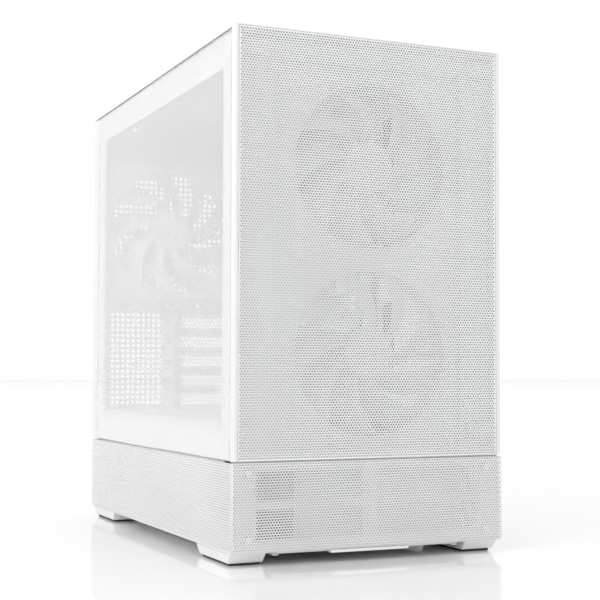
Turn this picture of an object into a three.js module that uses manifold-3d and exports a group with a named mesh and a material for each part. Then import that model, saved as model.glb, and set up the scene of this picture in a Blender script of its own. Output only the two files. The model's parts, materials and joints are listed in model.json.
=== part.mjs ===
// A white mini-tower desktop computer: sheet-metal case with a perforated front, a tempered-glass
// side, three 140 mm fans, and the board, cooler, memory, power supply and drives it holds.
// Millimetres, +Z up. The front faces -Y and the glass side faces -X.
import * as THREE from "three";
import { mergeVertices } from "three/addons/utils/BufferGeometryUtils.js";
import Module from "manifold-3d";

const wasm = await Module();
wasm.setup();

// ---------------------------------------------------------------- driving dimensions
const WIDTH = 234; // over the side panels
const DEPTH = 424; // front mesh to rear edge of the side panels
const HEIGHT = 411; // floor to top cover
const SCREW_HEAD = 5; // thumbscrew heads stand behind the rear edge
const SHEET = 1.2; // steel sheet
const GAP = 0.3; // clearance between touching pieces
const PAN_Z = 10; // underside of the bottom pan
const BASE_TOP = 77.8; // top of the base section
const PANEL_Z = 79.25; // bottom of the glass, side panel and front panel
const PANEL_TOP = 407.4; // top of the glass and side panel
const GLASS = 4; // glass thickness
const FRONT_PANEL = 4.3; // front panel thickness
const EDGE_CHAMFER = 2.1; // chamfer on the front panel's vertical edges
const FRIT_TOP = 26; // white border on the glass
const FRIT_BOTTOM = 22;
const FRIT_END = 21.5;
const GLASS_REAR = 194.5; // rear edge of the glass, ahead of the steel strip
const FAN = 140; // case fan size
const FAN_DEPTH = 25;
const FAN_SCREWS = 124.5; // spacing of the fan's screws
const FAN_RING = 66; // radius of the hole through a fan
const RING_SIDES = 36;
const FRONT_FAN_X = 2.5;
const FRONT_FAN_PITCH = 148.6; // spacing of the two front fans
const UPPER_FAN_Z = 310;
const REAR_FAN_X = -37.5;
const REAR_FAN_Z = 293.5;
const SLOT_PITCH = 20.32; // expansion slots
const SLOT_COUNT = 5;
const TOP_SLOT_Z = 199;
const BOARD = 244; // micro-ATX board side
const PSU = [150, 140, 86]; // power supply, width, depth, height

// ---------------------------------------------------------------- derived places
const LEFT = -WIDTH / 2;
const RIGHT = WIDTH / 2;
const FRONT = -DEPTH / 2;
const REAR = DEPTH / 2;
const BODY_FRONT = FRONT + FRONT_PANEL + GAP; // front edge of side panels and top cover
const SIDE = 110.4; // half width of the inner chassis
const PAN_TOP = PAN_Z + SHEET;
const FLOOR = PAN_TOP + GAP; // what stands on the pan starts here
const ROOF = 405.6; // underside of the chassis roof
const COVER_Z = 408.6; // underside of the top cover
const WALL_Y = REAR - 2.6; // inner face of the rear wall
const FLANGE_Y = REAR - 1.1; // inner face of the side panels' rear flanges
const FRONT_WALL_Y = BODY_FRONT; // front face of the chassis front
const RECESS_Y = FRONT + 9; // front face of the fan plate
const FRONT_FAN_Y = RECESS_Y + SHEET + GAP; // intake faces of the fans
const REAR_FAN_Y = WALL_Y - GAP - FAN_DEPTH;
const TRAY_X = 91; // board side of the motherboard tray
const SHROUD_Z = 107; // underside of the power supply shroud's roof
const BOARD_X = 83; // component side of the board
const BOARD_Y = [WALL_Y - 1.9 - BOARD, WALL_Y - 1.9];
const BOARD_Z = [128, 128 + BOARD];
const CPU_Y = 107.5;
const CPU_Z = 307.5;

// ---------------------------------------------------------------- materials
const paint = new THREE.MeshStandardMaterial({ color: 0xf1f2f2, roughness: 0.45, metalness: 0.1 });
const innerPaint = new THREE.MeshStandardMaterial({ color: 0xe6e8e9, roughness: 0.55, metalness: 0.1 });
const meshPaint = new THREE.MeshStandardMaterial({ color: 0xdfe1e2, roughness: 0.5, metalness: 0.1 });
const whitePlastic = new THREE.MeshStandardMaterial({ color: 0xeceeee, roughness: 0.5, metalness: 0 });
const glassMaterial = new THREE.MeshStandardMaterial({
  color: 0xdfe6e6,
  roughness: 0.04,
  metalness: 0,
  transparent: true,
  opacity: 0.35,
});
const steel = new THREE.MeshStandardMaterial({ color: 0xb9bcbf, roughness: 0.35, metalness: 1 });
const aluminium = new THREE.MeshStandardMaterial({ color: 0xc9ccce, roughness: 0.35, metalness: 1 });
const darkRubber = new THREE.MeshStandardMaterial({ color: 0x2b2c2d, roughness: 0.9, metalness: 0 });
const blackPlastic = new THREE.MeshStandardMaterial({ color: 0x1d1e20, roughness: 0.55, metalness: 0 });
const circuitBoard = new THREE.MeshStandardMaterial({ color: 0xcdd1d3, roughness: 0.5, metalness: 0 });
const psuPaint = new THREE.MeshStandardMaterial({ color: 0xdfe1e2, roughness: 0.5, metalness: 0.1 });

// ---------------------------------------------------------------- solids
// A closed three.js geometry as a solid that can be joined and cut.
function solid(geometry) {
  const bare = geometry.clone();
  bare.deleteAttribute("normal");
  bare.deleteAttribute("uv");
  const merged = mergeVertices(bare, 1e-4);
  return new wasm.Manifold(
    new wasm.Mesh({
      numProp: 3,
      vertProperties: merged.attributes.position.array,
      triVerts: new Uint32Array(merged.index.array),
    }),
  );
}

function joined(...solids) {
  return solids.reduce((whole, piece) => whole.add(piece));
}

function cut(body, ...tools) {
  return tools.reduce((whole, tool) => whole.subtract(tool), body);
}

// A box from three [low, high] ranges.
function block(x, y, z) {
  const geometry = new THREE.BoxGeometry(x[1] - x[0], y[1] - y[0], z[1] - z[0]);
  geometry.translate((x[0] + x[1]) / 2, (y[0] + y[1]) / 2, (z[0] + z[1]) / 2);
  return solid(geometry);
}

// A round bar along Y from y[0] to y[1], centred on (x, z).
function barY(radius, x, z, y, sides = 24) {
  const geometry = new THREE.CylinderGeometry(radius, radius, y[1] - y[0], sides);
  geometry.translate(x, (y[0] + y[1]) / 2, z);
  return solid(geometry);
}

// A round bar along Z from z[0] to z[1], centred on (x, y).
function barZ(radius, x, y, z, sides = 24) {
  const geometry = new THREE.CylinderGeometry(radius, radius, z[1] - z[0], sides);
  geometry.rotateX(Math.PI / 2);
  geometry.translate(x, y, (z[0] + z[1]) / 2);
  return solid(geometry);
}

// A round bar along X from x[0] to x[1], centred on (y, z).
function barX(radius, y, z, x, sides = 24) {
  const geometry = new THREE.CylinderGeometry(radius, radius, x[1] - x[0], sides);
  geometry.rotateZ(Math.PI / 2);
  geometry.translate((x[0] + x[1]) / 2, y, z);
  return solid(geometry);
}

// ---------------------------------------------------------------- flat outlines
function rectangle(a, b, chamfer = 0) {
  const shape = new THREE.Shape();
  shape.moveTo(a[0] + chamfer, b[0]);
  shape.lineTo(a[1] - chamfer, b[0]);
  if (chamfer) shape.lineTo(a[1], b[0] + chamfer);
  shape.lineTo(a[1], b[1] - chamfer);
  if (chamfer) shape.lineTo(a[1] - chamfer, b[1]);
  shape.lineTo(a[0] + chamfer, b[1]);
  if (chamfer) shape.lineTo(a[0], b[1] - chamfer);
  shape.lineTo(a[0], b[0] + chamfer);
  shape.closePath();
  return shape;
}

function circle(x, y, radius, sides = 8) {
  const points = [];
  for (let i = 0; i < sides; i++) {
    const angle = (i * 2 * Math.PI) / sides;
    points.push(new THREE.Vector2(x + radius * Math.cos(angle), y + radius * Math.sin(angle)));
  }
  return new THREE.Shape(points);
}

// The planes a sheet can lie in: its outline's two axes and the axis of its thickness.
const PLANES = {
  x: new THREE.Matrix4().makeBasis(
    new THREE.Vector3(0, 1, 0),
    new THREE.Vector3(0, 0, 1),
    new THREE.Vector3(1, 0, 0),
  ),
  y: new THREE.Matrix4().makeBasis(
    new THREE.Vector3(1, 0, 0),
    new THREE.Vector3(0, 0, 1),
    new THREE.Vector3(0, -1, 0),
  ),
  z: new THREE.Matrix4(),
};

// An outline given thickness along one axis, between two places on that axis.
function slab(axis, range, outline) {
  const depth = range[1] - range[0];
  const geometry = new THREE.ExtrudeGeometry(outline, { depth, bevelEnabled: false });
  geometry.applyMatrix4(PLANES[axis]);
  const shift = new THREE.Vector3();
  shift[axis] = axis === "y" ? range[1] : range[0];
  geometry.translate(shift.x, shift.y, shift.z);
  return solid(geometry);
}

// A flat sheet with holes right through it.
function sheet(axis, range, outline, holes = []) {
  const through = [range[0] - 1, range[1] + 1];
  return cut(slab(axis, range, outline), ...holes.map((hole) => slab(axis, through, hole)));
}

// ---------------------------------------------------------------- the assembly
const tower = new THREE.Group();
tower.name = "desktop_computer_tower";
// The design frame's Y runs over the case only; the shift centres it with the screw heads on.
tower.position.y = -SCREW_HEAD / 2;

function add(name, body, material) {
  const made = body.getMesh();
  const geometry = new THREE.BufferGeometry();
  geometry.setAttribute("position", new THREE.BufferAttribute(made.vertProperties, 3));
  geometry.setIndex(new THREE.BufferAttribute(made.triVerts, 1));
  const shaded = geometry.toNonIndexed();
  shaded.computeVertexNormals();
  const mesh = new THREE.Mesh(shaded, material);
  mesh.name = name;
  tower.add(mesh);
}

// ---------------------------------------------------------------- chassis
const FILTER_HALF = 78.6; // half width of the dust filter under the pan
const SCREW_X = 104; // thumbscrews, from the middle
const SCREW_LEVELS = [115, 375];
const SCREW_HOLE = 2.1;
const PIN_X = 98; // push pins of the front panel
const PIN_LEVELS = [100, 395];
const BASE_PIN_X = 103; // push pins of the base front
const BASE_PIN_LEVELS = [20, 70];

function bottomPan() {
  const slotLength = [92, 182];
  const slots = [];
  for (let i = 0; i < 12; i++) {
    const x = -49.5 + i * 10;
    slots.push(rectangle([x - 3, x + 3], slotLength, 2));
  }
  const plate = sheet("z", [PAN_Z, PAN_TOP], rectangle([LEFT, RIGHT], [FRONT + 1.5, WALL_Y - GAP]), slots);
  const rails = [-1, 1].flatMap((side) => {
    const web = [side * (FILTER_HALF + GAP), side * (FILTER_HALF + GAP + SHEET)];
    const lip = [side * (FILTER_HALF - 3), web[1]];
    const length = [FRONT + 9, WALL_Y - 12];
    return [
      block(web.sort((a, b) => a - b), length, [6.6, PAN_Z + 0.1]),
      block(lip.sort((a, b) => a - b), length, [6.6, 7.6]),
    ];
  });
  return joined(plate, ...rails);
}

function rearWall() {
  const holes = [
    rectangle([38.2, 82.7], [214.8, 373.6]),
    rectangle([-64, 75], [15, 94]),
  ];
  for (let i = 0; i < SLOT_COUNT; i++) {
    const z = TOP_SLOT_Z - i * SLOT_PITCH;
    holes.push(rectangle([-22, 76], [z - 6.5, z + 6.5]));
  }
  for (const side of [-1, 1]) {
    for (const z of SCREW_LEVELS) holes.push(circle(side * SCREW_X, z, SCREW_HOLE));
  }
  const outline = rectangle([-SIDE, SIDE], [FLOOR, ROOF - GAP]);
  return sheet("y", [WALL_Y, WALL_Y + SHEET], outline, holes);
}

const TRAY_CORNER = 3; // corner cut of the tray's openings

// Standoffs carry the board 6.4 mm off the tray.
function motherboardTray() {
  const holes = [rectangle([62, 152], [262, 350], TRAY_CORNER)];
  for (const z of [150, 235, 320]) holes.push(rectangle([-68, -44], [z, z + 62], TRAY_CORNER));
  const outline = rectangle([FRONT + 18, WALL_Y - GAP], [SHROUD_Z + SHEET + GAP, ROOF - GAP]);
  const plate = sheet("x", [TRAY_X, TRAY_X + SHEET], outline, holes);
  const standoffs = [];
  for (const y of [BOARD_Y[0] + 10, BOARD_Y[0] + 88, BOARD_Y[1] - 10]) {
    for (const z of [BOARD_Z[0] + 6, BOARD_Z[0] + 104, BOARD_Z[1] - 6]) {
      standoffs.push(barX(3, y, z, [BOARD_X + 1.6 + GAP, TRAY_X + 0.1], 6));
    }
  }
  return joined(plate, ...standoffs);
}

const RECESS_X = [-81, 81];
const RECESS_Z = [87, 388.5];
const FRONT_FAN_LEVELS = [UPPER_FAN_Z, UPPER_FAN_Z - FRONT_FAN_PITCH];

// The fan plate is set back behind a flange that runs round it.
function frontWall() {
  const pinHoles = [-1, 1].flatMap((side) => PIN_LEVELS.map((z) => circle(side * PIN_X, z, 3.6)));
  const flange = sheet(
    "y",
    [FRONT_WALL_Y, FRONT_WALL_Y + SHEET],
    rectangle([-SIDE, SIDE], [PANEL_Z, ROOF - GAP]),
    [rectangle(RECESS_X, RECESS_Z), ...pinHoles],
  );
  const plateX = [RECESS_X[0] - SHEET, RECESS_X[1] + SHEET];
  const plateZ = [RECESS_Z[0] - SHEET, RECESS_Z[1] + SHEET];
  const sides = sheet(
    "y",
    [FRONT_WALL_Y, RECESS_Y + SHEET],
    rectangle(plateX, plateZ),
    [rectangle(RECESS_X, RECESS_Z)],
  );
  const apertures = FRONT_FAN_LEVELS.map((z) => circle(FRONT_FAN_X, z, FAN_RING - 0.5, RING_SIDES));
  const plate = sheet("y", [RECESS_Y, RECESS_Y + SHEET], rectangle(plateX, plateZ), apertures);
  return joined(flange, sides, plate);
}

function lowerFrontFrame() {
  const windows = [
    [-95.5, -6.5],
    [6.5, 95.5],
  ].flatMap((x) => [rectangle(x, [19.6, 42.2]), rectangle(x, [48.4, 71])]);
  const pinHoles = [-1, 1].flatMap((side) =>
    BASE_PIN_LEVELS.map((z) => circle(side * BASE_PIN_X, z, 3.1)),
  );
  const halfWidth = RIGHT - SHEET - GAP;
  const outline = rectangle([-halfWidth, halfWidth], [FLOOR, PANEL_Z - GAP]);
  return sheet("y", [FRONT_WALL_Y, FRONT_WALL_Y + SHEET], outline, [...windows, ...pinHoles]);
}

const ROOF_FRONT = -172; // the port module sits ahead of the roof

// Its perforated field is a plain sheet here, as it is on the outer grilles.
function roofPanel() {
  return block([-SIDE, SIDE], [ROOF_FRONT, WALL_Y + SHEET], [ROOF, ROOF + SHEET]);
}

function psuShroud() {
  const length = [FRONT_FAN_Y + FAN_DEPTH + GAP, WALL_Y - GAP];
  const roof = block([-SIDE, TRAY_X], length, [SHROUD_Z, SHROUD_Z + SHEET]);
  const side = block([-SIDE, -SIDE + SHEET], length, [FLOOR, SHROUD_Z + 0.1]);
  return joined(roof, side);
}

// The post that the slot covers are screwed to.
function slotPost() {
  const z = [SHROUD_Z + SHEET + GAP, TOP_SLOT_Z + 19];
  const flat = block([-38, -31.5], [WALL_Y - GAP - SHEET, WALL_Y - GAP], z);
  const web = block([-31.5 - SHEET, -31.5], [WALL_Y - 13, WALL_Y - GAP], z);
  return joined(flat, web);
}

function slotCover(index) {
  const z = TOP_SLOT_Z - index * SLOT_PITCH;
  const plate = block([-31.2, 80], [WALL_Y - GAP - SHEET, WALL_Y - GAP], [z - 8.9, z + 8.9]);
  const tab = block([-31.2, -30], [WALL_Y - 12, WALL_Y - GAP], [z - 8.9, z + 8.9]);
  return joined(plate, tab);
}

// ---------------------------------------------------------------- outer covers
const FILTER_X = 76; // half width of the roof filter
const FILTER_Y = [-150, 172];
const BUTTON_X = 56;
const RESET_X = 78;
const PORTS_Y = -190;
const AUDIO_X = -38;
const USB_PLACES = [-16, 8];
const USB_C_X = 29;
const USB_PORT = [12.6, 5.2];
const BUTTON_RADIUS = 6.2;
const RESET_RADIUS = 2.8;
const WELL_PLAY = 0.4;
const MESH_INSET = 4.4; // side rails of the front panel, beside the mesh
const MESH_HEAD = 0.9; // top rail, above the mesh

function portHole(x) {
  const half = USB_PORT.map((size) => size / 2);
  return rectangle([x - half[0], x + half[0]], [PORTS_Y - half[1], PORTS_Y + half[1]]);
}

function topCover() {
  const holes = [
    rectangle([-FILTER_X + 5, FILTER_X - 5], [FILTER_Y[0] + 5, FILTER_Y[1] - 5]),
    circle(BUTTON_X, PORTS_Y, BUTTON_RADIUS + WELL_PLAY, 24),
    circle(RESET_X, PORTS_Y, RESET_RADIUS + WELL_PLAY, 16),
    circle(AUDIO_X, PORTS_Y, 2.2, 12),
    rectangle([USB_C_X - 4.7, USB_C_X + 4.7], [PORTS_Y - 1.7, PORTS_Y + 1.7]),
    ...USB_PLACES.map(portHole),
  ];
  const plate = sheet("z", [COVER_Z, HEIGHT], rectangle([LEFT, RIGHT], [BODY_FRONT, REAR]), holes);
  const seat = block([-FILTER_X, FILTER_X], FILTER_Y, [HEIGHT - 1.3, HEIGHT + 1]);
  const clips = [-1, 1].flatMap((side) =>
    [-120, 0, 150].map((y) => barZ(3, side * 95, y, [ROOF + SHEET + GAP, COVER_Z + 0.1], 12)),
  );
  return joined(cut(plate, seat), ...clips);
}

function topFilter() {
  const x = [-FILTER_X + GAP, FILTER_X - GAP];
  return block(x, [FILTER_Y[0] + GAP, FILTER_Y[1] - GAP], [HEIGHT - 1, HEIGHT]);
}

// Ports and buttons under the front of the top cover.
function portModule() {
  const z = [394, COVER_Z - GAP];
  const body = block([-46, 88], [PORTS_Y - 12, PORTS_Y + 12], z);
  const wells = [
    barZ(BUTTON_RADIUS + WELL_PLAY, BUTTON_X, PORTS_Y, [402, HEIGHT], 24),
    barZ(RESET_RADIUS + WELL_PLAY, RESET_X, PORTS_Y, [402, HEIGHT], 16),
    barZ(1.8, AUDIO_X, PORTS_Y, [398, HEIGHT], 12),
    block([USB_C_X - 4.4, USB_C_X + 4.4], [PORTS_Y - 1.3, PORTS_Y + 1.3], [400, HEIGHT]),
    ...USB_PLACES.map((x) => sheet("z", [398, HEIGHT], portHole(x))),
  ];
  return cut(body, ...wells);
}

function button(x, radius, sides) {
  return barZ(radius, x, PORTS_Y, [404.2, HEIGHT], sides);
}

// The frame's outline is chamfered on its front vertical edges. The mesh lies on a ledge that runs
// round behind it, and comes down to the frame's lower edge.
function frontPanelFrame() {
  const outline = new THREE.Shape();
  outline.moveTo(LEFT + EDGE_CHAMFER, FRONT);
  outline.lineTo(RIGHT - EDGE_CHAMFER, FRONT);
  outline.lineTo(RIGHT, FRONT + EDGE_CHAMFER);
  outline.lineTo(RIGHT, FRONT + FRONT_PANEL);
  outline.lineTo(LEFT, FRONT + FRONT_PANEL);
  outline.lineTo(LEFT, FRONT + EDGE_CHAMFER);
  outline.closePath();
  const panel = sheet("z", [PANEL_Z, HEIGHT], outline);
  const mesh = block(
    [LEFT + MESH_INSET, RIGHT - MESH_INSET],
    [FRONT - 1, FRONT + 1.7],
    [PANEL_Z - 1, HEIGHT - MESH_HEAD],
  );
  const side = 8.8; // width of the frame beside the opening
  const end = 6.4; // height of the frame above and below it
  const opening = block(
    [LEFT + side, RIGHT - side],
    [FRONT - 1, FRONT + FRONT_PANEL + 1],
    [PANEL_Z + end, HEIGHT - end],
  );
  const pins = [-1, 1].flatMap((side) =>
    PIN_LEVELS.map((z) => barY(3, side * PIN_X, z, [FRONT + 2.5, FRONT + 12], 12)),
  );
  const bosses = [-1, 1].flatMap((side) =>
    PIN_LEVELS.map((z) =>
      block([side * PIN_X - 11, side * PIN_X + 11], [FRONT + 2, FRONT + 2.7], [z - 6, z + 6]),
    ),
  );
  return joined(cut(panel, mesh, opening), ...bosses, ...pins);
}

function frontMesh() {
  const inset = MESH_INSET + GAP;
  return block(
    [LEFT + inset, RIGHT - inset],
    [FRONT + 0.2, FRONT + 0.2 + SHEET],
    [PANEL_Z, HEIGHT - MESH_HEAD - GAP],
  );
}

function baseFrontGrille() {
  const plate = block([LEFT, RIGHT], [FRONT, FRONT + SHEET], [FLOOR, BASE_TOP]);
  const pins = [-1, 1].flatMap((side) =>
    BASE_PIN_LEVELS.map((z) => barY(2.5, side * BASE_PIN_X, z, [FRONT + SHEET - 0.1, FRONT + 10], 12)),
  );
  return joined(plate, ...pins);
}

// Folded in at the rear to close the gap beside the rear wall.
function baseSideGrille(side) {
  const x = [side * RIGHT, side * (RIGHT - SHEET)].sort((a, b) => a - b);
  const foldX = [side * (RIGHT - 0.1), side * (SIDE + GAP)].sort((a, b) => a - b);
  return joined(
    block(x, [FRONT + SHEET + GAP, REAR - GAP], [FLOOR, BASE_TOP]),
    block(foldX, [REAR - GAP - SHEET, REAR - GAP], [FLOOR, BASE_TOP]),
  );
}

function glassPane() {
  return block([LEFT, LEFT + GLASS], [BODY_FRONT, GLASS_REAR], [PANEL_Z, PANEL_TOP]);
}

// Rear flange with two holes for the thumbscrews.
function rearFlange(side) {
  const x = [side * RIGHT, side * (RIGHT - 19)].sort((a, b) => a - b);
  const holes = SCREW_LEVELS.map((z) => circle(side * SCREW_X, z, SCREW_HOLE));
  return sheet("y", [FLANGE_Y, REAR], rectangle(x, [PANEL_Z, PANEL_TOP]), holes);
}

// Steel ring bonded behind the white border, with the strip that closes the rear of the glass side.
function glassFrame() {
  const inner = LEFT + GLASS + GAP;
  const ring = sheet(
    "x",
    [inner, inner + 1.8],
    rectangle([BODY_FRONT + 2, GLASS_REAR + 6], [PANEL_Z + 2.5, PANEL_TOP - 2.5]),
    [
      rectangle(
        [BODY_FRONT + FRIT_END, GLASS_REAR - FRIT_END],
        [PANEL_Z + FRIT_BOTTOM, PANEL_TOP - FRIT_TOP],
      ),
    ],
  );
  const strip = block([LEFT, LEFT + SHEET], [GLASS_REAR + GAP, REAR], [PANEL_Z, PANEL_TOP]);
  const webY = [GLASS_REAR + 2, GLASS_REAR + 2 + SHEET];
  const web = block([LEFT, inner + 0.1], webY, [PANEL_Z + 2.5, PANEL_TOP - 2.5]);
  return joined(ring, strip, web, rearFlange(-1));
}

function rightSidePanel() {
  const skin = block([RIGHT - SHEET, RIGHT], [BODY_FRONT, REAR], [PANEL_Z, PANEL_TOP]);
  const hems = [
    [PANEL_Z, PANEL_Z + SHEET],
    [PANEL_TOP - SHEET, PANEL_TOP],
  ].map((z) => block([RIGHT - 5, RIGHT], [BODY_FRONT, REAR], z));
  const frontHem = block([RIGHT - 5, RIGHT], [BODY_FRONT, BODY_FRONT + SHEET], [PANEL_Z, PANEL_TOP]);
  return joined(skin, ...hems, frontHem, rearFlange(1));
}

function thumbscrew(side, z) {
  const x = side * SCREW_X;
  const head = barY(5.2, x, z, [REAR + GAP, REAR + SCREW_HEAD], 20);
  const shank = barY(1.7, x, z, [REAR - 10, REAR + GAP + 0.1], 12);
  return joined(head, shank);
}

// ---------------------------------------------------------------- feet and filter
const FOOT_END = 206; // outer end of a foot along Y
const FOOT_LENGTH = 79;
const FOOT_OUT = 116.4; // outer side of a foot
const FOOT_IN = 86.5;
const PAD = 1.5;

// A wedge-sided foot: its top outline shrinks towards the floor.
function foot(sideX, sideY) {
  const top = PAN_Z - GAP;
  const bottom = PAD + GAP;
  const width = FOOT_OUT - FOOT_IN;
  const geometry = new THREE.BoxGeometry(width, FOOT_LENGTH, top - bottom);
  geometry.translate(0, 0, (top + bottom) / 2);
  const places = geometry.attributes.position;
  for (let i = 0; i < places.count; i++) {
    if (places.getZ(i) > bottom + 1) continue;
    const outX = Math.sign(places.getX(i)) === sideX;
    const outY = Math.sign(places.getY(i)) === sideY;
    places.setX(i, places.getX(i) - Math.sign(places.getX(i)) * (outX ? 1.1 : 0.5));
    places.setY(i, places.getY(i) - Math.sign(places.getY(i)) * (outY ? 7 : 5.5));
  }
  geometry.translate((sideX * (FOOT_OUT + FOOT_IN)) / 2, sideY * (FOOT_END - FOOT_LENGTH / 2), 0);
  return solid(geometry);
}

function footPad(sideX, sideY) {
  const x = [sideX * (FOOT_IN + 2.5), sideX * (FOOT_OUT - 3)].sort((a, b) => a - b);
  const y = [sideY * (FOOT_END - FOOT_LENGTH + 8), sideY * (FOOT_END - 9)].sort((a, b) => a - b);
  return block(x, y, [0, PAD]);
}

function psuFilter() {
  const z = [7.9, PAN_Z - GAP];
  const frame = block([-FILTER_HALF, FILTER_HALF], [FRONT + 9, WALL_Y - 14], z);
  const tab = block([-35, 32], [FRONT + 0.5, FRONT + 9.1], [PAN_Z - GAP - 2.4, PAN_Z - GAP]);
  return joined(frame, tab);
}

// ---------------------------------------------------------------- fans
const FAN_CORNER = 6; // corner cut of a fan frame
const FAN_SCREW_HOLE = 2.2;
const SEAT_DEPTH = 3; // motor seat and struts, at the outlet side
const STRUT_HALF = 2;

// A square fan frame with closed corners, a motor seat and its four struts.
function fanFrame(size, depth, ringRadius, screws, seatRadius) {
  const half = size / 2;
  const bore = circle(0, 0, ringRadius, RING_SIDES);
  const corners = [-1, 1].flatMap((a) => [-1, 1].map((b) => [(a * screws) / 2, (b * screws) / 2]));
  const screwHoles = corners.map(([x, z]) => circle(x, z, FAN_SCREW_HOLE));
  const outline = rectangle([-half, half], [-half, half], FAN_CORNER);
  const body = sheet("y", [0, depth], outline, [bore, ...screwHoles]);
  const seat = barY(seatRadius, 0, 0, [depth - SEAT_DEPTH, depth]);
  const reach = [-ringRadius - 1, ringRadius + 1];
  const width = [-STRUT_HALF, STRUT_HALF];
  const strutDepth = [depth - SEAT_DEPTH, depth - 0.5];
  return joined(body, seat, block(reach, strutDepth, width), block(width, strutDepth, reach));
}

// A rotor with swept, pitched blades; its front edge of each blade is on the intake side.
function rotor(tipRadius, hubRadius, depth, blades) {
  const steps = 5; // along a blade, from root to tip
  const sweep = 0.66; // radians the tip leads the root by
  const rootLead = 0.05;
  const rootChord = 0.81; // of the angle between blades
  const chordLoss = 0.16;
  const pitchAngle = (2 * Math.PI) / blades;
  const rootRadius = hubRadius - 1.5;
  const bladeDepth = depth - 2;
  const thickness = 1.6;
  const lead = (t) => sweep * t + (1 - t) * rootLead;
  const chord = (t) => pitchAngle * (rootChord - chordLoss * t);
  const edge = (t, lag) => {
    const radius = rootRadius + (tipRadius - rootRadius) * t;
    const angle = lead(t) - lag * chord(t);
    return new THREE.Vector2(radius * Math.cos(angle), radius * Math.sin(angle));
  };
  const front = [];
  const back = [];
  for (let i = 0; i <= steps; i++) {
    front.push(edge(i / steps, 0));
    back.push(edge(i / steps, 1));
  }
  const tip = [0.25, 0.5, 0.75].map((lag) => edge(1, lag));
  const outline = new THREE.Shape([...back, ...tip.reverse(), ...front.reverse()]);
  const geometry = new THREE.ExtrudeGeometry(outline, { depth: thickness, bevelEnabled: false });
  const places = geometry.attributes.position;
  for (let i = 0; i < places.count; i++) {
    const x = places.getX(i);
    const y = places.getY(i);
    const t = Math.min(1, Math.max(0, (Math.hypot(x, y) - rootRadius) / (tipRadius - rootRadius)));
    const lag = Math.min(1, Math.max(0, (lead(t) - Math.atan2(y, x)) / chord(t)));
    // The sheet's thickness runs along -Y once turned, so the pitch is taken off it.
    places.setZ(i, places.getZ(i) - lag * (bladeDepth - thickness));
  }
  geometry.applyMatrix4(PLANES.y);
  geometry.translate(0, 1 + thickness, 0);
  let body = barY(hubRadius, 0, 0, [0, depth], 32);
  for (let i = 0; i < blades; i++) {
    const turned = geometry.clone();
    turned.rotateY(i * pitchAngle);
    body = body.add(solid(turned));
  }
  return body;
}

const HUB = 21;
const HUB_SEAT = 20;
const caseFanFrame = fanFrame(FAN, FAN_DEPTH, FAN_RING, FAN_SCREWS, HUB_SEAT);
const caseRotor = rotor(FAN_RING - 1.5, HUB, FAN_DEPTH - 5, 9);
const ROTOR_SETBACK = 0.8;

// ---------------------------------------------------------------- what the case holds
const MEMORY_Y = 48;
const MEMORY_PITCH = 9.6;
const MEMORY_SOCKETS = 4;
const CONNECTOR_HALF = 3.8; // half height of an expansion connector

function motherboard() {
  const x = (height) => [BOARD_X - height, BOARD_X + 0.1];
  const board = block([BOARD_X, BOARD_X + 1.6], BOARD_Y, BOARD_Z);
  const rear = BOARD_Y[1];
  const pieces = [
    block(x(31), [rear - 20, rear + 1.2], [222, 366]), // rear connectors
    block(x(24), [100, 178], [352, 368]), // regulator heatsinks
    block(x(24), [154, 182], [262, 340]),
    block(x(4), [CPU_Y - 24, CPU_Y + 24], [CPU_Z - 24, CPU_Z + 24]), // socket
    block(x(11), [0, 62], [136, 186]), // chipset heatsink
    block(x(12), [BOARD_Y[0] + 1, BOARD_Y[0] + 12], [250, 302]), // power connector
    block(x(13), [BOARD_Y[0] + 1, BOARD_Y[0] + 18], [150, 176]), // drive connectors
  ];
  for (const [index, start] of [[0, 92], [1, 156], [2, 92]]) {
    const z = TOP_SLOT_Z - index * SLOT_PITCH;
    pieces.push(block(x(11), [start, 182], [z - CONNECTOR_HALF, z + CONNECTOR_HALF])); // expansion connector
  }
  const grooves = [];
  for (let i = 0; i < MEMORY_SOCKETS; i++) {
    const y = MEMORY_Y - i * MEMORY_PITCH;
    pieces.push(block(x(8), [y - 3.3, y + 3.3], [222, 364]));
    grooves.push(block([BOARD_X - 9, BOARD_X - 3], [y - 1.1, y + 1.1], [225, 361]));
  }
  return cut(joined(board, ...pieces), ...grooves);
}

function memoryModule(index) {
  const y = MEMORY_Y - index * MEMORY_PITCH;
  const card = block([BOARD_X - 37, BOARD_X - 3.4], [y - 0.7, y + 0.7], [226.5, 359.5]);
  const spreader = block([BOARD_X - 39, BOARD_X - 9.5], [y - 3, y + 3], [226.5, 359.5]);
  return joined(card, spreader);
}

function ioShield() {
  return block([38.5, 82.4], [WALL_Y + 0.1, WALL_Y + 0.1 + 0.9], [215.1, 373.3]);
}

const COOLER_FAN = 92;
const COOLER_FAN_X = 19; // the cooler fan's outer face
const COOLER_FAN_DEPTH = 20;

// Round core with radial fins on a square base.
function coolerHeatsink() {
  const fins = 28;
  const core = 15;
  const tip = 41;
  const halfFin = 0.8;
  const points = [];
  for (let i = 0; i < fins; i++) {
    const angle = (i * 2 * Math.PI) / fins;
    const along = new THREE.Vector2(Math.cos(angle), Math.sin(angle));
    const across = new THREE.Vector2(-along.y, along.x).multiplyScalar(halfFin);
    points.push(along.clone().multiplyScalar(core).sub(across));
    points.push(along.clone().multiplyScalar(tip).sub(across));
    points.push(along.clone().multiplyScalar(tip).add(across));
    points.push(along.clone().multiplyScalar(core).add(across));
  }
  const outer = COOLER_FAN_X + COOLER_FAN_DEPTH + GAP;
  const stack = sheet("x", [outer, BOARD_X - 12], new THREE.Shape(points));
  const base = block([BOARD_X - 12.1, BOARD_X - 4 - GAP], [-20, 20], [-20, 20]);
  return joined(stack, base).translate([0, CPU_Y, CPU_Z]);
}

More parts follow.
